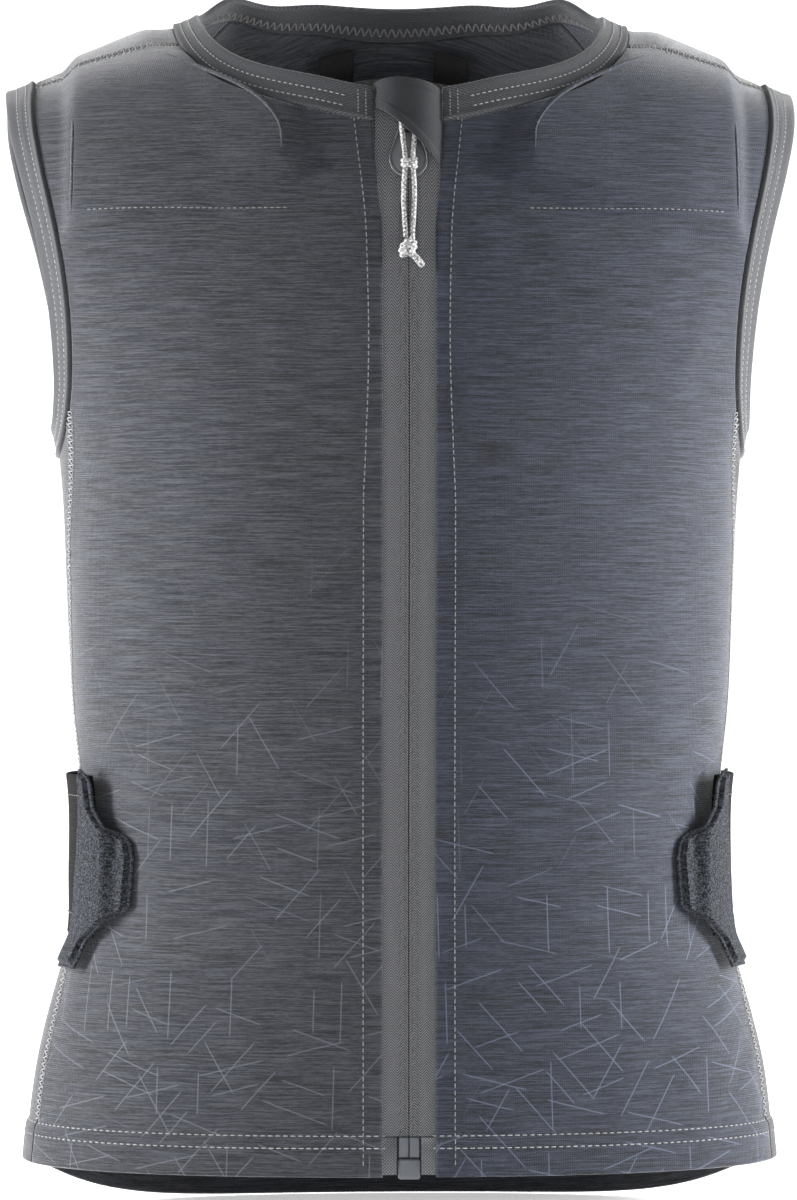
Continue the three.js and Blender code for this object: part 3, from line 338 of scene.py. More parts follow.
KNOT_MIDDLE = np.array((-0.5, -86.6, -103.1))
KNOT_TURNS = 3.2
KNOT_CORD = 1.08
KNOT_CORE = 1.9
TAIL_CORD = 1.4
coil_path = []
for t in np.linspace(0, 1, 120):
    turn = 2 * math.pi * KNOT_TURNS * t
    swell = 0.75 + 0.45 * math.sin(math.pi * t)
    across = 2.5 * swell * math.cos(turn)
    up = 3.0 - 6.0 * t + 1.15 * math.cos(turn)
    coil_path.append(KNOT_MIDDLE + (across, -2.0 * swell * math.sin(turn), up))
core = smooth_path([KNOT_MIDDLE + (0.4, 0, 3.6), KNOT_MIDDLE, KNOT_MIDDLE + (0, 0, -2.8)], 0.5)
tail = smooth_path([KNOT_MIDDLE + (0.6, -0.2, -1.6), KNOT_MIDDLE + (3.2, -0.4, -3.8),
                    KNOT_MIDDLE + (5.2, -0.3, -6.2), KNOT_MIDDLE + (6.3, -0.2, -7.6)], 0.4)
tail_radius = TAIL_CORD * np.minimum(1, np.sqrt(np.linspace(1, 0.02, len(tail)) * 9))
knot = make_piece("cord_knot", *joined(tube(coil_path, KNOT_CORD, 12), tube(core, KNOT_CORE, 12),
                                       tube(tail, tail_radius, 14)), braid)
fit(closed(knot), "cord_braid", "cord_knot")

for (strand, route), near in zip(strands, ((wrap, knot), ())):
    path = [(point * MM).tolist() for point in route]

# The front panels
# Two panels of a heathered stretch jersey, cut to the body and zipped together. Each is folded in along
# the zip and topstitched, and its hem is folded up and sewn with two rows. A pad lifts its shoulder.
TRUNK_HEIGHT = 487
HEM, WAIST, CHEST, SHOULDER = 161, 137, 147, 170
FRONT_DEPTH = 90
BACK_DEPTH = 88
RIDGE_BACK = 8
SHOULDER_SLOPE = 0.42
SHOULDER_ROUND = 30
NECK_REACH = 92
NECK_RISE = 12
NECK_RISE_FROM = 30
NECK_RISE_WIDE = 60
NECK_STAND = 9
NECK_STAND_AT = 74
NECK_STAND_WIDE = 16
TAIL_DROP = 26
TAIL_HEIGHT = 117
# Sections of the body: up the trunk, half width, front and back shares, ridge's shift, squareness, slope
BODY = np.array([
    (0, HEM, 0.97, 0.98, 0, 2.3, 0),
    (0.084, 0.968 * HEM, 0.955, 0.95, 0, 2.3, 0),
    (0.164, 1.066 * WAIST, 0.945, 0.91, 0, 2.3, 0),
    (0.2, 1.022 * WAIST, 0.94, 0.895, 0, 2.3, 0),
    (0.25, 1.01 * WAIST, 0.935, 0.88, 0, 2.3, 0),
    (0.322, WAIST, 0.935, 0.87, 0, 2.3, 0),
    (0.404, 0.957 * CHEST, 0.955, 0.9, 0, 2.3, 0),
    (0.507, 0.972 * CHEST, 0.985, 0.95, 0, 2.3, 0),
    (0.605, 0.99 * CHEST, 1, 0.99, 0, 2.3, 0.02),
    (0.67, 0.89 * SHOULDER, 0.99, 1, 0, 2.35, 0.1),
    (0.735, 0.925 * SHOULDER, 0.965, 0.99, 0, 2.45, 0.25),
    (0.8, 0.96 * SHOULDER, 0.92, 0.95, 0.06, 2.6, 0.45),
    (0.86, 0.99 * SHOULDER, 0.85, 0.89, 0.2, 2.9, 0.66),
    (0.912, 1.015 * SHOULDER, 0.74, 0.78, 0.45, 3.3, 0.83),
    (0.955, 1.035 * SHOULDER, 0.58, 0.6, 0.7, 3.7, 0.94),
    (0.986, 1.045 * SHOULDER, 0.33, 0.34, 0.9, 4, 0.99),
    (1, 1.05 * SHOULDER, 0, 0, 1, 4, 1),
])
RIDGE = len(BODY) - 1


def arch_row(row, back):
    up, half, front, behind, fore, square, slope = row
    depth = -behind * BACK_DEPTH if back else front * FRONT_DEPTH
    return (up - 1) * TRUNK_HEIGHT, half, depth, fore * RIDGE_BACK, square, slope


ARCH = [arch_row(row, False) for row in BODY[:-1]] + [arch_row(row, True) for row in BODY[::-1]]
ARCH = np.array([2 * np.array(ARCH[0]) - ARCH[1], *ARCH, 2 * np.array(ARCH[-1]) - ARCH[-2]])


def through(rows, t, last):
    """A smooth curve through rows at t, where the first and last row only steer its ends."""
    t = np.clip(t, 0, last)
    i = np.minimum(t.astype(int), last - 1)
    f = (t - i)[..., None]
    a, b, c, d = (rows[i + n] for n in range(4))
    return 0.5 * (2 * b + (c - a) * f + (2 * a - 5 * b + 4 * c - d) * f**2 + (3 * b - a - 3 * c + d) * f**3)


def section(level):
    return np.moveaxis(through(ARCH, np.asarray(level, float), 2 * RIDGE), -1, 0)


def skin(angle, level):
    """Points of the cloth: angle runs from the middle to the side, level up the front and down the back."""
    angle, level = np.broadcast_arrays(np.asarray(angle, float), np.asarray(level, float))
    over = level > RIDGE
    turn = np.where(over, math.pi - angle, angle)
    height = np.where(over, 2 * RIDGE - level, level)
    behind = np.cos(turn) < 0
    rise, half, depth, fore, square, slope = section(np.where(behind, 2 * RIDGE - height, height))
    across = np.sign(np.sin(turn)) * np.abs(np.sin(turn)) ** (2 / square)
    x = half * across
    fall = np.hypot(x, SHOULDER_ROUND) - math.hypot(NECK_REACH, SHOULDER_ROUND)
    neck_rise = NECK_RISE * (1 - smooth((np.abs(x) - NECK_RISE_FROM) / NECK_RISE_WIDE))
    z = rise + slope * (neck_rise - SHOULDER_SLOPE * fall)
    from_ridge = RIDGE - height
    stand = NECK_STAND * np.exp(-(((np.abs(x) - NECK_STAND_AT) / NECK_STAND_WIDE) ** 2))
    stand = stand * smooth(from_ridge) * (1 - smooth((from_ridge - 1.5) / 2.5))
    low = np.clip(1 - (rise + TRUNK_HEIGHT) / TAIL_HEIGHT, 0, 1) ** 1.5
    z = z + np.where(behind, stand - TAIL_DROP * low * (1 - np.abs(across) ** 6), 0)
    return np.stack([x, fore - depth * np.abs(np.cos(turn)) ** (2 / square), z], -1)


ANGLE_STEP = 0.004
LEVEL_STEP = 0.02


def slopes(place):
    angle, level = place[..., 0], place[..., 1]
    low, high = np.maximum(0, level - LEVEL_STEP), np.minimum(2 * RIDGE, level + LEVEL_STEP)
    aside = (skin(angle + ANGLE_STEP, level) - skin(angle - ANGLE_STEP, level)) / (2 * ANGLE_STEP)
    return aside, (skin(angle, high) - skin(angle, low)) / (high - low)[..., None]


def unit(ways):
    return ways / np.linalg.norm(ways, axis=-1, keepdims=True)


def normal(place):
    return unit(np.cross(*slopes(place)))


def places(angle, level):
    return np.stack(np.broadcast_arrays(np.asarray(angle, float), np.asarray(level, float)), -1)


def solve(high, below):
    """The largest values from 0 to high at which below is still true, one for each of its results."""
    low = np.zeros_like(high)
    for _ in range(40):
        middle = (low + high) / 2
        under = below(middle)
        low, high = np.where(under, middle, low), np.where(under, high, middle)
    return (low + high) / 2


def level_at(z):
    z = np.asarray(z, float)
    return np.where(z >= 0, RIDGE, solve(np.full_like(z, RIDGE), lambda k: section(k)[0] < z))


def angle_at(x, level):
    half, square = section(level)[1], section(level)[4]
    return np.sign(x) * np.arcsin(np.minimum(1, np.abs(x) / half) ** (square / 2))


def front_level(z):
    z = np.asarray(z, float)
    return solve(np.full_like(z, RIDGE), lambda k: skin(0, k)[..., 2] < z)


def walk(place, way, distance):
    """Walks over the cloth from places, in directions of space, for a distance."""
    for _ in range(4):
        aside, up = slopes(place)
        rr, ru, uu = ((a * b).sum(-1) for a, b in ((aside, aside), (aside, up), (up, up)))
        dr, du = (aside * way).sum(-1), (up * way).sum(-1)
        a, b = (dr * uu - du * ru), (du * rr - dr * ru)
        length = np.linalg.norm(aside * a[..., None] + up * b[..., None], axis=-1)
        place = place + np.stack([a, b], -1) * (distance / 4 / length)[..., None]
    return place


# The armhole's free edge: share of its drop, and degrees ahead of and behind the side
ARMHOLE_DROP = 173.5
ARM_BAND = 13
ARMHOLE = np.array([
    (0, 0, 0), (0.02, 8, 8), (0.07, 14, 13), (0.16, 18.5, 17), (0.32, 22.5, 21), (0.52, 24.5, 22),
    (0.72, 25, 21.5), (0.88, 25.5, 22.5), (0.97, 26, 25), (1, 26, 26),
])
ARM_TOP = len(ARMHOLE) - 1
ARM_LAST = 2 * ARM_TOP
ARM_ROWS = np.array([(-ARMHOLE[1, 0], -ARMHOLE[1, 2])] + [(r, a) for r, a, _ in ARMHOLE]
                    + [(2 - r, b) for r, _, b in ARMHOLE[-2::-1]] + [(2 + ARMHOLE[1, 0], -ARMHOLE[1, 1])])


def arm_edge(t):
    rise, off = np.moveaxis(through(ARM_ROWS, np.asarray(t, float), ARM_LAST), -1, 0)
    level = level_at(-ARMHOLE_DROP * (1 - np.where(rise <= 1, rise, 2 - rise)))
    return places(np.radians(90 - off), np.where(rise <= 1, level, 2 * RIDGE - level))


def arm_band(t, outwards):
    place = arm_edge(t)
    before, after = (arm_edge(np.clip(t + step, 0, ARM_LAST)) for step in (-0.03, 0.03))
    run = skin(*np.moveaxis(after, -1, 0)) - skin(*np.moveaxis(before, -1, 0))
    return walk(place, unit(np.cross(normal(place), run)), np.broadcast_to(outwards, t.shape))


NECK_HALF = 86
NECK_FRONT = 64
NECK_BACK = 24.5
NECK_EASE = 0.25
NECK_BAND = 11.5


def neck_at(turn, outwards):
    """The neckline, from the middle of the front round to the middle of the back."""
    turn, outwards = np.broadcast_arrays(np.asarray(turn, float), np.asarray(outwards, float))
    wide = np.abs(np.sin(turn))
    front = turn <= math.pi / 2
    power = np.where(front, 1.7, 1.05)
    drop = np.where(front, NECK_FRONT, NECK_BACK) + outwards
    eased = (np.hypot(wide, NECK_EASE) - NECK_EASE) / (math.hypot(1, NECK_EASE) - NECK_EASE)
    across = np.where(front, wide, eased)
    level = level_at(-drop * np.maximum(0, 1 - across**power) ** (1 / power))
    level = np.where(front, level, 2 * RIDGE - level)
    return places(angle_at((NECK_HALF + outwards) * wide, level), level)


def neck_seam(turn):
    return neck_at(turn, NECK_BAND)


def neck_turn(x):
    return math.asin(x / (NECK_HALF + NECK_BAND))


def mix(a, b, t):
    return a + (b - a) * np.asarray(t)[..., None]


ARM_SIDE, ARM_FRONT, ARM_YOKE = 2.2, 8.1, 12.1
NECK_SHOULDER = math.radians(76)
NECK_YOKE = math.pi - math.asin(0.75)
ZIP_OPEN = 11
ZIP_FLARE = 3.4
ZIP_FLARE_HEIGHT = 40
STITCH_IN = 8
SIDE_TOP = arm_band(np.array(ARM_SIDE), ARM_BAND)
SIDE_TOP_Z = float(section(SIDE_TOP[1])[0])
SIDE_REACH = 18.5
BASE_Z = -(ARMHOLE_DROP + ARM_BAND + SIDE_REACH)
BASE = float(level_at(BASE_Z))
FOLD_TURN = neck_turn(ZIP_OPEN + ZIP_FLARE)
STITCH_TURN = neck_turn(ZIP_OPEN + ZIP_FLARE + STITCH_IN)
NECK_TOP = float(neck_seam(FOLD_TURN)[1])
SEAM_UP = (0, 0.2, 0.35, 0.62, 0.82, 1)
SEAM_ROUND = np.radians((75.5, 77, 82, 84, 80, math.degrees(SIDE_TOP[0])))


def side_seam(level):
    up = (section(level)[0] + TRUNK_HEIGHT) / (SIDE_TOP_Z + TRUNK_HEIGHT)
    return places(np.interp(up, SEAM_UP, SEAM_ROUND), level)


def fold_at(level, beyond=0.0):
    top = section(NECK_TOP)[0]
    flare = smooth(1 - (top - section(level)[0]) / ZIP_FLARE_HEIGHT)
    return places(angle_at(ZIP_OPEN + ZIP_FLARE * flare + beyond, level), level)


PAD_DROP = 81
PAD_OUTER = 136
PAD_TOP_INNER = 111
PAD_LOW_INNER = 52
PAD_CURVE_FROM = 10
PAD_CURVE_HEIGHT = 60
PAD_CURVE = 1.4
PAD_LIFT = 4
PAD_RAMP = 10


def pad_inner(fall):
    share = np.clip((fall - PAD_CURVE_FROM) / PAD_CURVE_HEIGHT, 0, 1)
    return PAD_LOW_INNER + (PAD_TOP_INNER - PAD_LOW_INNER) * (1 - share) ** PAD_CURVE


def pad_lift(place):
    """How far the pad lifts the cloth. Its edge shows as a low step in the cloth."""
    x = np.abs(skin(place[..., 0], place[..., 1])[..., 0])
    fall = -section(place[..., 1])[0]
    inside = np.minimum(np.minimum(PAD_OUTER - x, 0.75 * (x - pad_inner(fall))), PAD_DROP - fall)
    return PAD_LIFT * smooth(inside / PAD_RAMP + 1)


CLOTH = 1.8
HEM_BAND = 17
HEM_RISE = 1.2
GAP = 0.3
# Creases that the shape of the body draws in the cloth: from x, z to x, z, half width and height
CREASES = np.array([
    (126, -296, 150, -318, 3.2, 0.8), (118, -318, 150, -330, 3.6, -0.6), (110, -338, 140, -341, 4, 0.5),
    (140, -410, 118, -452, 4.5, 0.6), (150, -428, 132, -470, 4, -0.5), (128, -120, 108, -172, 5, 0.5),
    (132, -186, 96, -206, 6, 0.5), (138, -200, 104, -232, 6, -0.4), (40, -60, 86, -96, 5, 0.45),
    (30, -74, 70, -128, 6, -0.35), (60, -40, 100, -58, 4, 0.3),
])


def crease(points, side=1):
    x, z = points[..., 0] * side, points[..., 2]
    rise = 0.35 * np.sin(x / 23 + 1.3 * side) * np.sin(z / 41 + 0.7) + 0.2 * np.sin(z / 13 + x / 37)
    for x0, z0, x1, z1, half, height in CREASES:
        shift = 4 * (1 - side)
        run = np.array((x1 - x0, z1 - z0))
        t = ((x - x0) * run[0] + (z - z0 - shift) * run[1]) / run.dot(run)
        c = np.clip(t, 0, 1)
        off = np.hypot(x - x0 - c * run[0], z - z0 - shift - c * run[1])
        rise += height * np.exp(-((off / half) ** 2)) * np.sin(math.pi * np.clip(t * 0.8 + 0.1, 0, 1))
    return rise


def edge_distance(points):
    """How far each point of a grid is from the grid's nearest edge, and the grid's size."""
    runs = []
    for axis in (0, 1):
        step = np.linalg.norm(np.diff(points, axis=axis), axis=-1)
        run = np.concatenate([np.zeros_like(step.take([0], axis)), np.cumsum(step, axis)], axis)
        runs.append((run, run.take([-1], axis)))
    nearest = [np.minimum(run, whole - run) for run, whole in runs]
    return nearest[0], nearest[1], [float(whole.max()) for _, whole in runs], runs[1][0]


def fine(*stops):
    """Values through stops of (value, cells), with the first and last cells split finer for the edges."""
    values = [stops[0][0]]
    for (a, _), (b, cells) in zip(stops, stops[1:]):
        values += list(np.linspace(a, b, cells + 1)[1:])
    first, last = values[1] - values[0], values[-1] - values[-2]
    ends = (0.12, 0.35)
    return np.array([values[0], *(values[0] + first * e for e in ends), *values[1:-1],
                     *(values[-1] - last * e for e in ends[::-1]), values[-1]])


ALONG_LEVEL = np.linspace(0, 2 * RIDGE, 401)
ALONG = skin(0.6, ALONG_LEVEL)
ALONG_RUN = run_along(ALONG)
# How many of its points go up the front, short of the ridge
UP_FRONT = 195


def cloth_panel(name, place, thick, lift, finish, side=1, ring=False, edge=0.9, creased=1.0, apart=0.02,
                upright=False):
    """A sheet of cloth from a grid of places, whose courses lie level in space where it is upright.
    Returns the piece, its cut and its outer face."""
    base = skin(place[..., 0], place[..., 1])
    if not ring:
        for axis in (0, 1):
            first, second, last, before = (base.take([n], axis) for n in (0, 1, -1, -2))
            first = first + unit(second - first) * apart
            last = last + unit(before - last) * apart
            base = np.concatenate([first, base.take(range(1, base.shape[axis] - 1), axis), last], axis)
    out = normal(place)
    down, aside, size, run = edge_distance(base)
    off = aside if ring else np.minimum(down, aside)
    drop = edge - np.sqrt(np.clip(edge**2 - np.clip(edge - off, 0, edge) ** 2, 0, None))
    rise = lift + creased * crease(base, side) * smooth(off / 12)
    rows, cols = base.shape[:2]
    points = [base + out * level[..., None] for level in (rise - drop, rise - thick + drop)]
    outer = points[0]
    inside_out = np.vdot(np.cross(base[1, 0] - base[0, 0], base[0, 1] - base[0, 0]), out[0, 0]) > 0
    front = grid_faces(rows, cols, ring)
    back = [face[::-1] for face in grid_faces(rows, cols, ring, rows * cols)]
    half = rows * cols
    edges = []
    for i in range(rows if ring else rows - 1):
        here, after = i * cols, (i + 1) % rows * cols
        edges += [(here, after), (after + cols - 1, here + cols - 1)]
    for j in range(0 if ring else cols - 1):
        end = half - cols + j
        edges += [(j + 1, j), (end, end + 1)]
    rim = [(a, b, b + half, a + half) for a, b in edges]
    faces = front + back + rim
    if inside_out:
        faces = [face[::-1] for face in faces]
    u = run + np.abs(base[..., :1, 0])
    v = np.interp(place[..., 1], ALONG_LEVEL, ALONG_RUN)
    if upright:
        v = np.interp(base[..., 2], ALONG[:UP_FRONT, 2], ALONG_RUN[:UP_FRONT])
    cut = np.tile(np.stack([u, v], -1).reshape(-1, 2), (2, 1))
    points = np.concatenate([p.reshape(-1, 3) for p in points])
    if side < 0:
        points = points * (-1, 1, 1)
        outer = outer * (-1, 1, 1)
        faces = [face[::-1] for face in faces]
    piece = make_piece(name, points, faces, cut, finish)
    cells = np.linalg.norm(np.cross(base[1:, :-1] - base[:-1, :-1], base[:-1, 1:] - base[:-1, :-1]), axis=-1)
    corner = np.linalg.norm(np.cross(base[1:, 1:] - base[:-1, 1:], base[1:, 1:] - base[1:, :-1]), axis=-1)
    area = float((cells.sum() + corner.sum()) / 2) * MM * MM
    return piece, (size[1] * MM, size[0] * MM, area), outer


def lay(cut):
    """Works out a cloth piece's width from the size it was cut to; the result is not kept."""
    width, length, area = cut
    share = area / (width * length)
    if share > 1:
        width = width * share


def blend_edges(bottom, top, start, end, u, v):
    """A patch of places whose four edges are given."""
    u, v = u[None, :, None], v[:, None, None]
    flat = bottom[None] * (1 - v) + top[None] * v + start[:, None] * (1 - u) + end[:, None] * u
    return flat - (bottom[:1, None] * (1 - u) + bottom[-1:, None] * u) * (1 - v) - (
        top[:1, None] * (1 - u) + top[-1:, None] * u) * v


STROKE_TURNS = (0.35, 1.05, 1.6, 2.3, 2.9)


def heather(name, tint, level, seed, strokes=0.0):
    """Heathered jersey: dark and light fibres knitted in courses, which show as fine streaks."""
    finish = Finish(name, {"Roughness": 0.8, "Sheen Weight": 0.5, "Sheen Roughness": 0.3,
                           "Specular IOR Level": 0.3})
    across, up = finish.cut()
    wander = finish.speckle(across / 30, up / 30, detail=1.0, seed=seed)
    up = up + wander * 1.6
    long_streak = finish.speckle(across / 22, up / 0.7, detail=3.0, seed=seed, roughness=0.55)
    short_streak = finish.speckle(across / 4, up / 0.6, detail=2.0, seed=seed + 4.0, roughness=0.7)
    grain = finish.speckle(across / 0.45, up / 0.42, detail=2.0, seed=9.0, roughness=0.7)
    patch = finish.speckle(across / 26, up / 17, detail=3.0, seed=2.0)
    tone = long_streak * 0.62 + short_streak * 0.34 + grain * 0.24 + patch * 0.08
    tone = tone.rise(0.47, 0.86)
    hue = finish.speckle(across / 60, up / 6, detail=2.0, seed=12.0).rise(0.34, 0.56)
    dark = finish.blend(hue, grey(7 * level, (1, 1, 0.98)), grey(16 * level, (0.78, 0.94, 1.5)))
    colour = finish.blend(tone, dark, grey(62 * level, tint))
    for n, turn in enumerate(STROKE_TURNS if strokes else ()):
        lean, rise = math.cos(turn), math.sin(turn)
        along = (across * lean + up * rise) / 36 + (n * 7.3 + seed)
        aside = (up * lean - across * rise) / 15 + (n * 3.7 + seed)
        corner = {0: along - along % 1, 1: aside - aside % 1, 2: 0.0}
        cell = finish.start.node("ShaderNodeCombineXYZ", None, corner)
        noise = "ShaderNodeTexWhiteNoise"
        throw = finish.start.node(noise, {"noise_dimensions": "3D"}, {"Vector": cell})
        more = finish.start.node(noise, {"noise_dimensions": "4D"}, {"Vector": cell, "W": 5.0})
        line = abs(aside % 1 - 0.2 - throw * 0.6).rise(0.024, 0.013)
        reach = abs(along % 1 - 0.5).rise(0.02 + more * 0.42, more * 0.4 - 0.03)
        low = (up + throw * 110).rise(290, 160)
        colour = finish.blend(line * reach * low * more.rise(0.55, 0.6) * strokes, colour, grey(84, tint))
    finish.feed("Base Color", colour)
    loop = (across / 0.95 + (up / 0.8).wave() * 0.5).wave() * (up / 0.8).wave()
    finish.relief(loop * 0.55 + short_streak * 0.5 + grain * 0.5, 0.22)
    return finish


# The two sides' copies of the jersey differ as painted light: the wearer's left is painted in cooler, darker
# light and the right in warmer, lighter light.
HEATHER = {"left": heather("heather_left_cool_shade_painted", (0.91, 0.98, 1.17), 0.97, 1.0, 0.62),
           "right": heather("heather_right_warm_light_painted", (0.97, 1.0, 1.09), 1.03, 2.0, 0.55)}


def thread_finish(name, level, tint=(1.0, 1.0, 1.0)):
    """Twisted sewing thread."""
    finish = Finish(name, {"Roughness": 0.6, "Sheen Weight": 0.4})
    x, y, z = finish.spot()
    twist = ((x + z * 1.4 + y) / 0.5).wave()
    finish.feed("Base Color", finish.blend(twist, grey(level * 0.8, tint), grey(level, tint)))
    finish.relief(twist, 0.06)
    return finish


LIGHT_THREAD = thread_finish("light_thread", 128)
GREY_THREAD = thread_finish("grey_thread", 88)
DARK_THREAD = thread_finish("dark_thread", 22)


def pattern_tree(name, sizes, material):
    """A pattern's tree with its named inputs, which cuts its paths into steps. Returns it, what is given,
    the steps, and their directions out and along."""
    tree = bpy.data.node_groups.new(name, "GeometryNodeTree")
    tree.interface.new_socket("Paths", in_out="INPUT", socket_type="NodeSocketGeometry")
    for label in sizes:
        tree.interface.new_socket(label, in_out="INPUT", socket_type="NodeSocketFloat")
    tree.interface.new_socket(material, in_out="INPUT", socket_type="NodeSocketMaterial")
    tree.interface.new_socket("Pattern", in_out="OUTPUT", socket_type="NodeSocketGeometry")
    start = Value(tree)
    given = {socket.name: Value(tree, socket) for socket in tree.nodes.new("NodeGroupInput").outputs}
    line = start.node("GeometryNodeMeshToCurve", None, {"Mesh": given["Paths"]})
    sockets = {"Curve": line, "Length": given["Pitch"]}
    line = start.node("GeometryNodeResampleCurve", {"mode": "LENGTH"}, sockets)
    out = start.node("GeometryNodeInputNamedAttribute", {"data_type": "FLOAT_VECTOR"}, {"Name": "out"})
    return tree, given, line, out, start.node("GeometryNodeInputTangent")


def set_along(tree, line, form, lie, material):
    """Ends a pattern: its form lies on each step of its paths, and all of them are one mesh."""
    start = Value(tree)
    sockets = {"Points": line, "Instance": form, "Rotation": lie}
    row = start.node("GeometryNodeInstanceOnPoints", None, sockets)
    row = start.node("GeometryNodeRealizeInstances", None, {"Geometry": row})
    row = start.node("GeometryNodeSetShadeSmooth", None, {"Geometry": row})
    row = start.node("GeometryNodeSetMaterial", None, {"Geometry": row, "Material": material})
    tree.links.new(row.socket, tree.nodes.new("NodeGroupOutput").inputs[0])
    return tree


def stitch_tree():
    """Stitches along paths: each lies across the path's run by a turn, and swings to and fro by its swing."""
    labels = ("Pitch", "Long", "Wide", "Thick", "Turn", "Swing")
    tree, given, line, out, tangent = pattern_tree("stitches", labels, "Thread")
    start = Value(tree)
    axes = {"primary_axis": "Z", "secondary_axis": "X"}
    lie = start.node("FunctionNodeAxesToRotation", axes, {0: out, 1: tangent})
    odd = start.node("GeometryNodeInputIndex") % 2.0
    angle = given["Turn"] + given["Swing"] * (odd * 2.0 - 1.0)
    swing = start.node("FunctionNodeAxisAngleToRotation", None, {"Axis": (0, 0, 1), "Angle": angle})
    lie = start.node("FunctionNodeRotateRotation", {"rotation_space": "LOCAL"}, {0: lie, 1: swing})
    halves = [given[label] * 0.5 for label in ("Long", "Wide", "Thick")]
    size = start.node("ShaderNodeCombineXYZ", None, dict(enumerate(halves)))
    grain = start.node("GeometryNodeMeshUVSphere", None, {"Segments": 7, "Rings": 4, "Radius": 1.0})
    grain = start.node("GeometryNodeTransform", None, {"Geometry": grain, "Scale": size})
    return set_along(tree, line, grain, lie, given["Thread"])


STITCHES = stitch_tree()


def grown(name, paths, tree, inputs, slot):
    """Runs a pattern along paths of (points, directions out), and returns its plain mesh as a piece."""
    points = np.concatenate([np.asarray(line) for line, _ in paths]) * MM
    outs = np.concatenate([np.asarray(out) for _, out in paths])
    edges = []
    start = 0
    for line, _ in paths:
        edges += [(n, n + 1) for n in range(start, start + len(line) - 1)]
        start += len(line)
    host = bpy.data.meshes.new(name + "_paths")
    host.from_pydata(points.tolist(), edges, [])
    host.attributes.new("out", "FLOAT_VECTOR", "POINT").data.foreach_set("vector", outs.ravel())
    piece = bpy.data.objects.new(name, host)
    bpy.context.scene.collection.objects.link(piece)
    modifier = piece.modifiers.new("Pattern", "NODES")
    modifier.node_group = tree
    for item in tree.interface.items_tree:
        if item.in_out == "INPUT" and item.name in inputs:
            modifier[item.identifier] = inputs[item.name]
    ready = bpy.context.evaluated_depsgraph_get()
    mesh = bpy.data.meshes.new_from_object(piece.evaluated_get(ready))
    piece.modifiers.clear()
    piece.data = mesh
    mesh.name = name
    return fit(piece, slot)


def stitch(name, paths, thread, slot, pitch, long, wide=0.55, thick=0.5, turn=0.0, swing=0.0):
    sizes = {"Pitch": pitch * MM, "Long": long * MM, "Wide": wide * MM, "Thick": thick * MM,
             "Turn": math.radians(turn), "Swing": math.radians(swing), "Thread": thread.material}
    return grown(name, paths, STITCHES, sizes, slot)


def sew_line(place, lift, side=1):
    """A sewing line through places, at a height over the cloth."""
    base = skin(place[..., 0], place[..., 1])
    out = normal(place)
    line = base + out * (np.asarray(lift) * np.ones(base.shape[:-1]))[..., None]
    flip = (side, 1, 1)
    return line * flip, out * flip


HEM_LINES = (12.4, 16.8)
PAD_SEAM_Z = -86
LOW_Z = np.concatenate([-TRUNK_HEIGHT + np.array((0.001, 0.5, 1.2, 3, 6, 9, 12, 14.5, 16, 17, 18, 20)),
                        np.linspace(-TRUNK_HEIGHT + 23, BASE_Z, 110)[:-1]])
LOW_LEVELS = level_at(LOW_Z)


def hem_rise(level):
    """The hem is folded double, which ends in a soft step above its stitches."""
    return HEM_RISE * (1 - smooth((section(level)[0] + TRUNK_HEIGHT - HEM_BAND + 1.6) / 1.6))


def hem_stitches(name, face, out):
    """The two rows that the hem is sewn with."""
    lines = []
    for up in HEM_LINES:
        row = int(np.argmin(np.abs(LOW_Z + TRUNK_HEIGHT - up)))
        lines.append((face[row] + out[row] * 0.1, out[row]))
    return stitch(name, lines, LIGHT_THREAD, "heather_jersey", 3.1, 2.3)


FRONT_COLS = fine((0, 0), (1, 5), (6, 30), (12, 36))
FRONT_ROWS = fine((0, 0), (2, 10), (12, 72))


def shoulder_seam(u):
    return mix(neck_seam(NECK_SHOULDER), arm_band(np.array(ARM_FRONT), ARM_BAND), u)


def front_row(level):
    level = np.full_like(FRONT_COLS, level)
    fold, stitched, side = fold_at(level), fold_at(level, STITCH_IN), side_seam(level)
    near = fold + (stitched - fold) * np.minimum(1, FRONT_COLS)[:, None]
    return near + (side - stitched) * np.clip((FRONT_COLS - 1) / 11, 0, 1)[:, None]


def front_places():
    level = BASE + (NECK_TOP - BASE) * FRONT_ROWS / 12
    outer = np.where((FRONT_ROWS <= 2)[:, None],
                     side_seam(BASE + (SIDE_TOP[1] - BASE) * np.minimum(1, FRONT_ROWS / 2)),
                     arm_band(ARM_SIDE + (ARM_FRONT - ARM_SIDE) * np.clip((FRONT_ROWS - 2) / 10, 0, 1), ARM_BAND))
    c = FRONT_COLS
    turn = np.where(c <= 1, FOLD_TURN + (STITCH_TURN - FOLD_TURN) * c,
                    STITCH_TURN + (NECK_SHOULDER - STITCH_TURN) * np.clip((c - 1) / 5, 0, 1))
    top = np.where((c <= 6)[:, None], neck_seam(turn), shoulder_seam(np.clip((c - 6) / 6, 0, 1)))
    upper = blend_edges(front_row(BASE), top, fold_at(level), outer, c / 12, FRONT_ROWS / 12)
    return np.concatenate([[front_row(k) for k in LOW_LEVELS], upper[2:]])


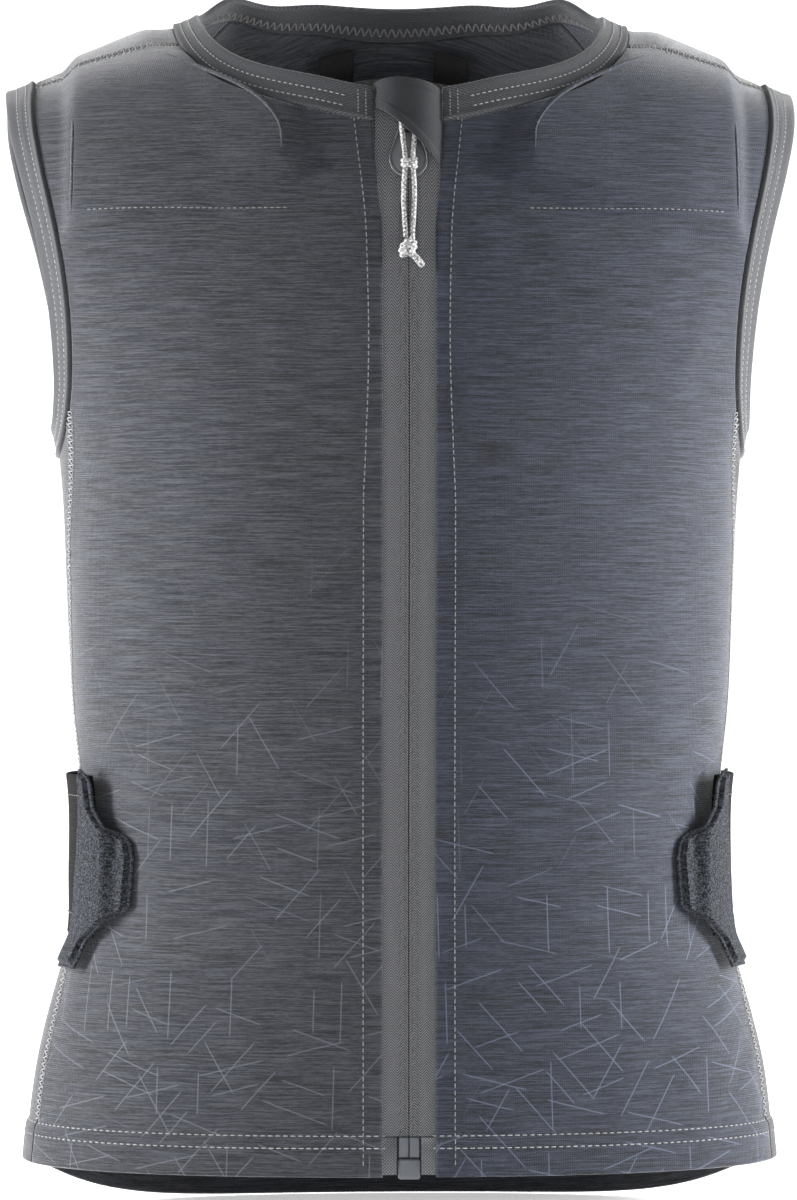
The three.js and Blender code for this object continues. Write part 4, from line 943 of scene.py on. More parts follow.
FRONT = front_places()
front_lift = pad_lift(FRONT) + hem_rise(FRONT[..., 1])
for side, name in SIDES:
    panel, cut, face = cloth_panel(f"front_panel_{name}", FRONT, CLOTH, front_lift, HEATHER[name], side,
                                   upright=True)
    fit(panel, "heather_jersey", f"front_panel_{name}")
    out = normal(FRONT) * (side, 1, 1)
    hem = hem_stitches(f"front_hem_stitches_{name}", face, out)
    col = int(np.argmin(np.abs(FRONT_COLS - 1)))
    fold = [(face[4:-2, col] + out[4:-2, col] * 0.08, out[4:-2, col])]
    fold = stitch(f"fold_stitches_{name}", fold, GREY_THREAD, "heather_jersey", 2.9, 2.1, 0.5, 0.4)
    seam_x = np.linspace(PAD_LOW_INNER + 2, 128, 60)
    seam_angle = angle_at(seam_x, level_at(PAD_SEAM_Z))
    seam_level = solve(np.full(60, float(RIDGE)), lambda k: skin(seam_angle, k)[..., 2] < PAD_SEAM_Z)
    seam = places(seam_angle, seam_level)
    channel = [sew_line(seam, pad_lift(seam) + crease(skin(seam[:, 0], seam[:, 1]), side) + 0.15, side)]
    channel = stitch(f"pad_stitches_{name}", channel, GREY_THREAD, "heather_jersey", 2.6, 1.9, 0.5, 0.4)
    fall = np.linspace(16, PAD_DROP - 3, 90)
    edges = []
    for x, first in ((pad_inner(fall), 0), (np.full(90, PAD_OUTER + 2.0), 18)):
        edge = places(angle_at(x, level_at(-fall)), level_at(-fall))[first:]
        lift = pad_lift(edge) + crease(skin(edge[:, 0], edge[:, 1]), side)
        sink = 0.35 + 0.5 * (1 - smooth(np.minimum(np.arange(len(edge)), np.arange(len(edge))[::-1]) / 14))
        edges.append(tube(sew_line(edge, lift - sink, side)[0], 0.8, 10))
    edges = make_piece(f"pad_outline_{name}", *joined(*edges), HEATHER[name])
    fit(closed(edges), "heather_jersey")
    lay(cut)

# The back panel
# One panel of the same jersey from side seam to side seam, longer than the front, with the same hem.
BACK_LEVELS = np.concatenate([LOW_LEVELS, [BASE]])
UNDER_T = np.linspace(0, 1, 41)


def to_back(place):
    over = (place[..., 1] > RIDGE)[..., None]
    other = places(math.pi - place[..., 0], 2 * RIDGE - place[..., 1])
    return np.where(over, place, other)


def yoke_seam(u):
    return mix(neck_seam(NECK_YOKE), arm_band(np.array(ARM_YOKE), ARM_BAND), u)


def back_top():
    neck = neck_seam(math.pi + (NECK_YOKE - math.pi) * np.linspace(0, 1, 19))
    yoke = yoke_seam(np.linspace(0, 1, 31))
    turn = ARM_YOKE + (ARM_LAST + ARM_SIDE - ARM_YOKE) * UNDER_T
    under = to_back(arm_band(np.where(turn <= ARM_LAST, turn, turn - ARM_LAST), ARM_BAND))
    return np.concatenate([neck, yoke[1:], under[1:]])


def back_places():
    top = back_top()
    run = run_along(skin(top[:, 0], top[:, 1]))
    shares = run / run[-1] * 0.55 + top[:, 0] / top[-1, 0] * 0.45

    def row(level):
        side = to_back(side_seam(np.asarray(level)))[..., 0]
        return places(shares * side, 2 * RIDGE - level)

    base = row(BASE)
    rise = fine((0, 0), (1, 64))[3:] ** 0.8
    upper = base[None] * (1 - rise[:, None, None]) + top[None] * rise[:, None, None]
    upper[:, -1] = to_back(side_seam(BASE + (SIDE_TOP[1] - BASE) * rise))
    half = np.concatenate([[row(k) for k in BACK_LEVELS], upper])
    half = np.concatenate([half[:, :-1], half[:, -2:-1] * 0.3 + half[:, -1:] * 0.7, half[:, -1:]], 1)
    return np.concatenate([half[:, :0:-1] * (-1, 1), half], 1)


BACK = back_places()
back_levels = 2 * RIDGE - BACK[..., 1]
panel, cut, face = cloth_panel("back_panel", BACK, CLOTH, pad_lift(BACK) + hem_rise(back_levels),
                               heather("heather_back", (0.97, 1.0, 1.08), 1.0, 3.0), creased=0.6)
fit(panel, "heather_jersey", "back_panel")
hem = hem_stitches("back_hem_stitches", face, normal(BACK))
lay(cut)

# The shoulder yokes and the flatlock seams
# A yoke of the same jersey lies over each shoulder. The panels meet edge to edge there and down the
# sides, under a flatlock seam: flat ladder stitches across the join, with a thread along each side.
YOKE_U = fine((0, 0), (1, 34))
YOKE_V = fine((0, 0), (1, 38))
YOKE = blend_edges(shoulder_seam(YOKE_U), yoke_seam(YOKE_U),
                   neck_seam(NECK_SHOULDER + (NECK_YOKE - NECK_SHOULDER) * YOKE_V),
                   arm_band(ARM_FRONT + (ARM_YOKE - ARM_FRONT) * YOKE_V, ARM_BAND), YOKE_U, YOKE_V)
SEAM_U = np.linspace(0.02, 0.98, 60)
LADDER_HALF = 2.6


def beside(place, way):
    """A seam's places moved across the seam by a distance."""
    run = np.gradient(skin(place[:, 0], place[:, 1]), axis=0)
    return walk(place, unit(np.cross(normal(place), run)), np.full(len(place), way))


def flatlock(name, place):
    """The ladder across a seam and the threads along it, on both sides of the vest."""
    lift = pad_lift(place) + 0.15
    ladder, threads = [], []
    for side in (1, -1):
        ladder.append(sew_line(place, lift, side))
        threads += [sew_line(beside(place, way), lift + 0.1, side) for way in (-LADDER_HALF, LADDER_HALF)]
    stitch(name + "_rungs", ladder, LIGHT_THREAD, "heather_jersey", 1.3, 2 * LADDER_HALF, 0.55, 0.6, 90, 16)
    stitch(name + "_threads", threads, LIGHT_THREAD, "heather_jersey", 1.9, 1.5, 0.45, 0.45)


for side, name in SIDES:
    panel, cut, _ = cloth_panel(f"shoulder_yoke_{name}", YOKE, CLOTH, pad_lift(YOKE), HEATHER[name], side,
                                creased=0.3)
    fit(panel, "heather_jersey", f"shoulder_yoke_{name}")
    lay(cut)
SIDE_LEVELS = np.linspace(float(level_at(-TRUNK_HEIGHT + 19)), float(SIDE_TOP[1]) - 0.05, 150)
flatlock("shoulder_flatlock", shoulder_seam(SEAM_U))
flatlock("yoke_flatlock", yoke_seam(SEAM_U))
flatlock("side_flatlock", side_seam(SIDE_LEVELS))

# The neck binding
# A strip of plainer jersey, folded round the edge of the neck and sewn down with two rows. Its ends are
# turned in at the zip and sewn across twice.
BAND_SINK = 0.8
BAND_RISE = 1.1
BINDING_THICK = CLOTH + BAND_SINK + BAND_RISE
BINDING_LIFT = 1.0
SEWN_IN = 0.22
BINDING_SHARES = np.array([0, 0.02, 0.06, 0.12, 0.2, 0.3, 0.4, 0.5, 0.6, 0.7, 0.78, 0.85, 0.9, 0.94, 0.98, 1])


def binding_cloth(name, level):
    finish = Finish(name, {"Roughness": 0.8, "Sheen Weight": 0.25, "Sheen Roughness": 0.3})
    across, up = finish.cut()
    rib = (up / 0.75 + across / 9).wave()
    grain = finish.speckle(across / 1.1, up / 0.5, detail=3.0, roughness=0.7)
    tone = (grain * 0.8 + rib * 0.25).rise(0.25, 0.95)
    finish.feed("Base Color", finish.blend(tone, grey(16 * level, (0.96, 0.99, 1.06)),
                                           grey(70 * level, (0.96, 0.99, 1.06))))
    finish.relief(rib * 0.4 + grain * 0.6, 0.2)
    return finish


BINDING_CLOTH = binding_cloth("binding_cloth", 1.0)
SEWN_AT = (0.42, 0.72)


def binding_shape(share):
    """A binding's height over its band: a rolled fold at its free edge, and dips where it is sewn."""
    roll = 0.35 * np.exp(-(((share - 0.1) / 0.12) ** 2))
    lip = 0.55 * np.exp(-(((share - 0.92) / 0.06) ** 2))
    dips = sum(0.35 * np.exp(-(((share - at) / 0.05) ** 2)) for at in SEWN_AT)
    return roll + lip - dips


def neck_line(turns, share, side):
    place = neck_at(turns, share * NECK_BAND)
    end = angle_at(ZIP_OPEN + ZIP_FLARE, place[:, 1])
    angle = np.where(place[:, 1] < RIDGE, np.maximum(place[:, 0], end), place[:, 0])
    return places(side * angle, place[:, 1])


def neck_places():
    half = FOLD_TURN + (math.pi - FOLD_TURN) * fine((0, 0), (1, 130))[:-3]
    lines = []
    for share in BINDING_SHARES:
        left, right = neck_line(half, share, 1), neck_line(half, share, -1)
        back = neck_at(np.array([math.pi - 1e-6]), share * NECK_BAND) * (0, 1)
        lines.append(np.concatenate([left, back, right[::-1]]))
    return np.stack(lines, 1)


NECK = neck_places()
binding_lift = BINDING_LIFT + binding_shape(BINDING_SHARES)[None, :] * np.ones((len(NECK), 1))
binding, cut, _ = cloth_panel("neck_binding", NECK, BINDING_THICK, binding_lift, BINDING_CLOTH,
                              creased=0, edge=1.3)
fit(binding, "binding_cloth", "neck_binding")
rows = []
for share in SEWN_AT:
    turns = np.linspace(0.3, math.pi - 0.001, 150)
    line = np.concatenate([neck_line(turns, share, 1), neck_line(turns, share, -1)[::-1]])
    rows.append(sew_line(line, BINDING_LIFT - SEWN_IN))
ends = []
for side in (1, -1):
    for inwards in (3.0, 6.2):
        share = np.linspace(0.08, 0.92, 12)
        level = neck_at(np.full(12, FOLD_TURN + 0.02), share * NECK_BAND)[:, 1]
        ends.append(sew_line(places(side * angle_at(ZIP_OPEN + ZIP_FLARE + inwards, level), level), 1.05))
neck_rows = stitch("neck_stitches", rows, LIGHT_THREAD, "binding_cloth", 2.5, 1.8, 0.6, 0.6)
end_rows = stitch("neck_end_stitches", ends, GREY_THREAD, "binding_cloth", 1.5, 1.1, 0.6, 0.6)
inner = []
for side in (1, -1):
    place = neck_at(np.linspace(1.9, math.pi - 0.001, 90), 0.66 * NECK_BAND) * (side, 1)
    line, out = sew_line(place, -BINDING_THICK + 0.85)
    inner.append((line, -out))
neck_ladder = stitch("neck_inside_ladder", inner, GREY_THREAD, "binding_cloth", 1.7, 4.4, 0.8, 0.7, 90, 20)
lay(cut)

# The armhole bindings
# The same strip in a ring round each armhole, turned over its edge and sewn down with two rows.
ARM_T = np.linspace(0, ARM_LAST, 181)[:-1]
ARM_RING = np.stack([arm_band(ARM_T, share * ARM_BAND) for share in BINDING_SHARES], 1)
for side, name in SIDES:
    lift = BINDING_LIFT + binding_shape(BINDING_SHARES)[None, :] * np.ones((len(ARM_RING), 1))
    binding, cut, _ = cloth_panel(f"armhole_binding_{name}", ARM_RING, BINDING_THICK, lift, BINDING_CLOTH,
                                  side, ring=True, creased=0, edge=1.3)
    fit(binding, "binding_cloth", f"armhole_binding_{name}")
    rows = []
    for share in SEWN_AT:
        loop = arm_band(np.linspace(0, ARM_LAST, 181), share * ARM_BAND)
        rows.append(sew_line(loop, BINDING_LIFT - SEWN_IN, side))
    rows = stitch(f"armhole_stitches_{name}", rows, LIGHT_THREAD, "binding_cloth", 2.5, 1.8, 0.6, 0.6)
    lay(cut)

# The shoulder pads
# Soft foam, 7 mm thick, with skived edges, in a sleeve under the cloth of each shoulder.
PAD_INSET = 13
PAD_FOAM = 7
PAD_CLEAR = 1.7


def foam(name, level):
    finish = Finish(name, {"Roughness": 0.92, "Specular IOR Level": 0.25})
    across, up = finish.cut()
    cell = finish.speckle(across / 0.8, up / 0.8, detail=2.0)
    finish.feed("Base Color", finish.blend(cell, grey(level * 0.8), grey(level * 1.25)))
    finish.relief(cell, 0.25)
    return finish


FOAM = foam("pad_foam", 24)


def foam_sheet(name, place, faces, finish, side=1):
    """A foam plate between two heights over the cloth's face, thinned towards its edges."""
    points = skin(place[..., 0], place[..., 1])
    down, aside, _, _ = edge_distance(points)
    thin = 0.5 + 0.5 * smooth(np.minimum(down, aside) / 9)
    high, low = faces
    piece, _, _ = cloth_panel(name, place, (high - low) * thin, high, finish, side, edge=1.6, creased=0)
    return piece


PAD_LOW = float(level_at(PAD_INSET - PAD_DROP))
pad_v = fine((0, 0), (1, 44))
pad_level = PAD_LOW + (2 * RIDGE - 2 * PAD_LOW) * pad_v
pad_round = PAD_INSET * 0.7 * np.abs(2 * pad_v - 1) ** 8
pad_far = PAD_OUTER - PAD_INSET - pad_round
pad_near = np.minimum(pad_inner(-section(pad_level)[0]) + PAD_INSET + pad_round, pad_far - PAD_INSET)
pad_x = pad_near[:, None] + (pad_far - pad_near)[:, None] * fine((0, 0), (1, 14))
PAD = places(angle_at(pad_x, pad_level[:, None]), pad_level[:, None])
for side, name in SIDES:
    top = PAD_LIFT - CLOTH - PAD_CLEAR
    pad = foam_sheet(f"shoulder_pad_{name}", PAD, (top, top - PAD_FOAM), FOAM, side)
    fit(pad, "pad_foam", f"shoulder_pad_{name}")

# The back protector and its pocket
# A foam plate, 11 mm thick, in a pocket of thin dark lining that is sewn to the inside of the back. A
# zigzag row runs along the pocket's top edge.
PROTECTOR_TOP = 34
PROTECTOR_HEIGHT = 370
PROTECTOR_HALF = 96
PROTECTOR_FOAM = 11
POCKET_CLOTH = 1.2
POCKET_MARGIN = 9
LINER_CLEAR = 1
PROTECTOR_DOWN_ROWS = (0, 0.08, 0.2, 0.35, 0.65, 0.88, 1)
PROTECTOR_WIDE = (0.42, 0.55, 0.92, 1, 0.9, 0.86, 0.7)
BACK_NECK_Z = float(skin(*neck_seam(math.pi))[2])


def back_inside(x, down):
    x, down = np.broadcast_arrays(np.asarray(x, float), np.asarray(down, float))
    z = BACK_NECK_Z - down
    level = 2 * RIDGE - solve(np.full_like(z, RIDGE), lambda k: skin(0, 2 * RIDGE - k)[..., 2] < z)
    return places(angle_at(x, level), level)


def protector_half(share):
    return PROTECTOR_HALF * np.interp(share, PROTECTOR_DOWN_ROWS, PROTECTOR_WIDE)


PROTECTOR_FACE = -CLOTH - LINER_CLEAR
plate_v = fine((0, 0), (1, 60))
plate_u = fine((-1, 0), (1, 36))
plate = back_inside(plate_u * protector_half(plate_v)[:, None],
                    (PROTECTOR_TOP - NECK_BAND + plate_v * PROTECTOR_HEIGHT)[:, None])
plate = foam_sheet("back_protector", plate, (PROTECTOR_FACE, PROTECTOR_FACE - PROTECTOR_FOAM), FOAM)
fit(plate, "pad_foam", "back_protector")

lining = Finish("pocket_lining", {"Roughness": 0.7, "Sheen Weight": 0.25})
across, up = lining.cut()
hole = (across / 1.6).wave() * (up / 1.6 + 0.25).wave()
lining.feed("Base Color", lining.blend(hole.rise(0.5, 0.9), grey(26, (0.96, 1, 1.1)), grey(12)))
lining.relief(1.0 - hole, 0.2)

pocket_v = np.concatenate([np.linspace(-POCKET_MARGIN, 0, 5), np.linspace(0, PROTECTOR_HEIGHT, 62)[1:],
                           PROTECTOR_HEIGHT + np.linspace(0, POCKET_MARGIN, 5)[1:]])
pocket_half = protector_half(pocket_v / PROTECTOR_HEIGHT)
pocket_s = np.concatenate([np.linspace(0, 1, 21), 1 + np.linspace(0, 1, 6)[1:]])
pocket_x = np.where(pocket_s <= 1, pocket_half[:, None] * np.minimum(pocket_s, 1),
                    pocket_half[:, None] + (pocket_s - 1) * POCKET_MARGIN)
pocket_x = np.concatenate([-pocket_x[:, :0:-1], pocket_x], 1)
POCKET = back_inside(pocket_x, (PROTECTOR_TOP - NECK_BAND + pocket_v)[:, None])
beyond = np.maximum(np.abs(np.concatenate([-pocket_s[:0:-1], pocket_s])) - 1, 0)[None, :] * POCKET_MARGIN
beyond = np.maximum(beyond, np.maximum(0, pocket_v - PROTECTOR_HEIGHT)[:, None])
above = np.maximum(0, -pocket_v)[:, None]
raised = 1 - smooth(beyond / (POCKET_MARGIN * 0.75))
rim = np.minimum(1, (PROTECTOR_HEIGHT - pocket_v)[:, None] / 9)
thin = 0.5 + 0.5 * smooth(np.minimum(np.minimum(np.maximum(pocket_v, 0)[:, None] / 9, rim),
                                     (pocket_half[:, None] - np.abs(pocket_x)) / 9))
pocket_face = PROTECTOR_FACE - np.where(above > 0, 0.5, thin) * PROTECTOR_FOAM - LINER_CLEAR
pocket_face = pocket_face * raised + (-CLOTH - LINER_CLEAR) * (1 - raised)
pocket, cut, _ = cloth_panel("protector_pocket", POCKET, POCKET_CLOTH, pocket_face, lining, edge=0.6,
                             creased=0)
fit(pocket, "pocket_cloth", "protector_pocket")
top_row = POCKET[2, 4:-4]
line, out = sew_line(top_row, pocket_face[2, 4:-4] - POCKET_CLOTH)
zigzag = stitch("pocket_zigzag", [(line, -out)], GREY_THREAD, "pocket_cloth", 1.5, 3.2, 0.5, 0.5, 90, 28)
lay(cut)

# The hanger loops
# Two loops of black woven tape, sewn in under the binding inside the back of the neck.
LOOP_APART = 26
LOOP_HALF = 7.8
LOOP_DROP = 17
LOOP = 1.2
LOOP_CLEAR = 1.6

black_tape = Finish("black_tape", {"Roughness": 0.8, "Specular IOR Level": 0.3})
across, up = black_tape.cut()
weave = ((across + up) / 0.7).wave()
black_tape.feed("Base Color", black_tape.blend(weave, grey(6), grey(16)))
black_tape.relief(weave, 0.15)

loop_x = LOOP_APART + LOOP_HALF * fine((-1, 0), (1, 14))[None, :]
loop_down = GAP + (LOOP_DROP - GAP) * fine((0, 0), (1, 16))[:, None]
LOOP_PLACES = back_inside(loop_x, loop_down)
for side, name in SIDES:
    loop, cut, _ = cloth_panel(f"hanger_loop_{name}", LOOP_PLACES, LOOP, -CLOTH - LOOP_CLEAR, black_tape,
                               side, edge=0.5, creased=0)
    fit(loop, "loop_tape", f"hanger_loop_{name}")
    lay(cut)

# The zip's tapes, coils and lower end
# Two herringbone tapes with the coils on their inner side, so that only the join shows. Each tape ends
# in a stiff film below. One pin slides through the box, and the other is moulded to it.
TAPE_HALF = 17
TAPE = 0.7
TAPE_BELOW = 2.2
COIL = 1.7
END_FILM = 13.3
END_BELOW = 2.5
END_UP = 3.4
SLIDER_DROP = 10
SLIDER_LENGTH = 10
SLIDER_PLATE = 1.1
WEB_HALF = 0.7
ZIP_TOP = float(neck_at(0, 0)[1])
ZIP_TOP_Z = float(skin(0, ZIP_TOP)[2])


def down_zip(distance):
    return front_level(ZIP_TOP_Z - np.asarray(distance, float))


SLIDER_LEVEL = float(down_zip(SLIDER_DROP))
SLIDER_LOW = float(down_zip(SLIDER_DROP + SLIDER_LENGTH))
FILM_LEVEL = float(level_at(-TRUNK_HEIGHT + END_FILM + END_UP))

herringbone = Finish("herringbone_tape", {"Roughness": 0.75, "Sheen Weight": 0.2, "Sheen Roughness": 0.3})
across, up = herringbone.cut()
column = abs((across + 0.2) % 5.0 - 2.5)
rib = ((up + column * 1.1) / 1.15).wave()
fibre = herringbone.speckle(across / 0.5, up / 0.5, detail=2.0)
tone = (rib * 0.75 + fibre * 0.4).rise(0.2, 0.85)
TAPE_TINT = (0.98, 0.99, 1.02)
herringbone.feed("Base Color", herringbone.blend(tone, grey(24, TAPE_TINT), grey(104, TAPE_TINT)))
herringbone.relief(rib * 0.8 + fibre * 0.3, 0.25)

tape_levels = np.concatenate([np.linspace(FILM_LEVEL, SLIDER_LOW, 150),
                              np.linspace(SLIDER_LOW, ZIP_TOP, 14)[1:]])
slit = np.where(tape_levels > SLIDER_LOW + 0.01, WEB_HALF + GAP, GAP / 2)
narrow = ZIP_OPEN + ZIP_FLARE - 2 * GAP
tape_edge = TAPE_HALF + (narrow - TAPE_HALF) * smooth((tape_levels - NECK_TOP + 1) / 0.8)
tape_x = slit[:, None] + (tape_edge - slit)[:, None] * fine((0, 0), (1, 10))
TAPE_PLACES = places(angle_at(tape_x, tape_levels[:, None]), tape_levels[:, None])
coil_levels = np.linspace(FILM_LEVEL, SLIDER_LOW - 0.1, 170)
coil_run = skin(0, coil_levels)
coil_out = normal(places(0.0, coil_levels))

COIL_PITCH = 1.25
COIL_HALF = 2.9
COIL_WIRE = 0.34


def coil_tree():
    """The loops of a zip's coil, one for each pitch along its tape."""
    labels = ("Pitch", "Wide", "Deep", "Wire")
    tree, given, line, out, tangent = pattern_tree("coil_loops", labels, "Plastic")
    start = Value(tree)
    axes = {"primary_axis": "Z", "secondary_axis": "X"}
    lie = start.node("FunctionNodeAxesToRotation", axes, {0: tangent, 1: out})
    ring = start.node("GeometryNodeCurvePrimitiveCircle", None, {"Resolution": 10, "Radius": 0.5})
    size = start.node("ShaderNodeCombineXYZ", None, {0: given["Deep"], 1: given["Wide"], 2: 1.0})
    sockets = {"Geometry": ring, "Scale": size, "Rotation": (0.0, 0.16, 0.0)}
    ring = start.node("GeometryNodeTransform", None, sockets)
    wire = start.node("GeometryNodeCurvePrimitiveCircle", None, {"Resolution": 5, "Radius": given["Wire"]})
    ring = start.node("GeometryNodeCurveToMesh", None, {"Curve": ring, "Profile Curve": wire})
    return set_along(tree, line, ring, lie, given["Plastic"])


def plastic(name, level, roughness=0.42, tint=(0.97, 0.99, 1.04)):
    finish = Finish(name, {"Specular IOR Level": 0.5})
    x, y, z = finish.spot()
    grain = finish.speckle(x / 0.35, z / 0.35, y / 0.35, detail=2.0)
    cloud = finish.speckle(x / 3, z / 3, y / 3, detail=2.0, seed=3.0)
    finish.feed("Base Color", finish.blend(cloud, grey(level * 0.88, tint), grey(level * 1.1, tint)))
    finish.feed("Roughness", grain * 0.2 + (roughness - 0.1))
    finish.relief(grain, 0.03)
    return finish


COIL_PLASTIC = plastic("coil_plastic", 46, 0.4)
BOX_PLASTIC = plastic("box_plastic", 68, 0.38, (0.95, 0.99, 1.07))
COILS = coil_tree()
for side, name in SIDES:
    tape, cut, _ = cloth_panel(f"zip_tape_{name}", TAPE_PLACES, TAPE, -TAPE_BELOW, herringbone, side,
                               edge=0.3, creased=0, apart=0.03)
    fit(tape, "tape_cloth", f"zip_tape_{name}")
    rows = []
    for x in (1.5, 3.6):
        rows.append(sew_line(places(angle_at(x, coil_levels), coil_levels), 0.1 - TAPE_BELOW, side))
    rows = stitch(f"tape_stitches_{name}", rows, DARK_THREAD, "tape_cloth", 1.6, 0.95, 0.75, 0.45)
    lay(cut)
    wide = COIL_HALF - GAP - 2 * COIL_WIRE
    below = -TAPE_BELOW - TAPE - GAP - COIL / 2
    line = coil_run + coil_out * below + (GAP / 2 + wide / 2 + COIL_WIRE, 0, 0)
    sizes = {"Pitch": COIL_PITCH * MM, "Wide": wide * MM, "Deep": (COIL - 2 * COIL_WIRE) * MM,
             "Wire": COIL_WIRE * MM, "Plastic": COIL_PLASTIC.material}
    coil = grown(f"zip_coil_{name}", [(line * (side, 1, 1), coil_out)], COILS, sizes, "coil_plastic")
    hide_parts(f"zip_coil_{name}")


def smooth_block(name, x, up, out, finish, level, round_off=0.5):
    """A moulded block with rounded edges, on the middle line of the cloth."""
    place = np.array((0.0, level))
    way = normal(place)
    high = np.cross(way, (1, 0, 0))
    base = skin(0, level)
    form = bmesh.new()
    bmesh.ops.create_cube(form, size=1)
    middle = [(a + b) / 2 for a, b in (x, up, out)]
    size = [b - a for a, b in (x, up, out)]
    for vert in form.verts:
        vert.co = [c * s + m for c, s, m in zip(vert.co, size, middle)]
    bmesh.ops.bevel(form, geom=form.edges[:], offset=round_off, segments=4, profile=0.5, affect="EDGES")
    for vert in form.verts:
        spot = base + np.array((1, 0, 0)) * vert.co.x + high * vert.co.y + way * vert.co.z
        vert.co = (spot * MM).tolist()
    bmesh.ops.recalc_face_normals(form, faces=form.faces)
    mesh = bpy.data.meshes.new(name)
    form.to_mesh(mesh)
    form.free()
    mesh.polygons.foreach_set("use_smooth", [True] * len(mesh.polygons))
    mesh.set_sharp_from_angle(angle=math.radians(35))
    mesh.materials.append(finish.material)
    piece = bpy.data.objects.new(name, mesh)
    bpy.context.scene.collection.objects.link(piece)
    return piece


END_LEVEL = float(level_at(-TRUNK_HEIGHT + END_UP))
BOX_HALF = 4.6
BOX_HEIGHT = 8.6
BOX_DEEP = 4.4
PIN_HALF = 4.3
film_finish = Finish("end_film", {"Roughness": 0.32, "Coat Weight": 0.4, "Coat Roughness": 0.2})
x, _, z = film_finish.spot()
weave = (((x + z) / 1.3).wave() * ((x - z) / 1.3).wave()).rise(0.1, 0.6)
FILM_TINT = (0.97, 0.99, 1.06)
film_finish.feed("Base Color", film_finish.blend(weave, grey(26, FILM_TINT), grey(92, FILM_TINT)))
film_finish.relief(weave, 0.12)
box_out = -TAPE_BELOW - TAPE / 2 + BOX_DEEP / 2
for side, name in SIDES:
    ends = sorted((side * (PIN_HALF + 2 * GAP), side * TAPE_HALF))
    film = smooth_block(f"tape_end_{name}", ends, (-END_BELOW, END_FILM - GAP),
                        (-TAPE_BELOW - TAPE, -TAPE_BELOW), film_finish, END_LEVEL, 0.25)
    fit(film, "end_film", f"tape_end_{name}")
    ends = sorted((side * GAP / 2, side * PIN_HALF))
    pin = smooth_block(f"end_pin_{name}", ends, (BOX_HEIGHT / 2 + GAP, END_FILM - GAP),
                       (-TAPE_BELOW - 2 * TAPE, -TAPE_BELOW + TAPE), BOX_PLASTIC, END_LEVEL, 0.45)
    fit(pin, "box_plastic", f"end_pin_{name}")
box = smooth_block("end_box", (-BOX_HALF, BOX_HALF), (-BOX_HEIGHT / 2, BOX_HEIGHT / 2),
                   (box_out - BOX_DEEP, box_out), BOX_PLASTIC, END_LEVEL, 1.1)
fit(box, "box_plastic", "end_box")

# The slider and its puller
# A painted metal slider with a bridge on its front. A drop-shaped moulded puller hangs from the bridge,
# with a raised rim round a flat web.
SLIDER_HALF = 4.2
PULLER = 1.2
PULLER_RADIUS = 8.1
PULLER_LENGTH = 17
PULLER_EYE = 3.4
BRIDGE_LENGTH = 6.4
BRIDGE_BAR = 1
BRIDGE_HALF = 1.2
COIL_FACE = -TAPE_BELOW - TAPE - GAP
FRONT_PLATE = (GAP - TAPE_BELOW, GAP - TAPE_BELOW + SLIDER_PLATE)
BACK_PLATE = (COIL_FACE - COIL - GAP - SLIDER_PLATE, COIL_FACE - COIL - GAP)
PULLER_FACE = FRONT_PLATE[1] + GAP
BRIDGE_TOP = PULLER_FACE + PULLER + GAP + BRIDGE_BAR

paint = Finish("slider_paint", {"Metallic": 0.6, "Coat Weight": 0.3, "Coat Roughness": 0.3})
x, y, z = paint.spot()
grain = paint.speckle(x / 0.2, z / 0.2, y / 0.2, detail=2.0)
paint.feed("Base Color", paint.blend(grain, grey(40), grey(60)))
paint.feed("Roughness", grain * 0.2 + 0.3)
paint.relief(grain, 0.02)
bridge_low = -SLIDER_LENGTH / 2 - BRIDGE_LENGTH / 2
bridge_high = bridge_low + BRIDGE_LENGTH
wide, long = (-SLIDER_HALF, SLIDER_HALF), (-SLIDER_LENGTH, 0)
bridge = (-BRIDGE_HALF, BRIDGE_HALF)
leg = (FRONT_PLATE[0] + 0.1, BRIDGE_TOP)
blocks = [
    (wide, long, FRONT_PLATE),
    (wide, long, BACK_PLATE),
    ((-WEB_HALF, WEB_HALF), (-6, -0.3), (BACK_PLATE[0] + 0.1, FRONT_PLATE[1] - 0.1)),
    (bridge, (bridge_low, bridge_low + BRIDGE_BAR), leg),
    (bridge, (bridge_high - BRIDGE_BAR, bridge_high), leg),
    (bridge, (bridge_low, bridge_high), (BRIDGE_TOP - BRIDGE_BAR, BRIDGE_TOP)),
]
parts = [smooth_block(f"slider_part_{n}", *block, paint, SLIDER_LEVEL, 0.28) for n, block in enumerate(blocks)]
with bpy.context.temp_override(active_object=parts[0], selected_editable_objects=parts):
    bpy.ops.object.join()
slider = parts[0]
slider.name = "zip_slider"
fit(slider, "slider_metal", "zip_slider")

EYE_TOP = bridge_high - BRIDGE_BAR - GAP
EYE_BAR = BRIDGE_LENGTH - 2 * BRIDGE_BAR - 2 * GAP
DROP_CENTRE = EYE_TOP - PULLER_LENGTH
EYE_MIDDLE = EYE_TOP - EYE_BAR - BRIDGE_BAR / 2 - GAP


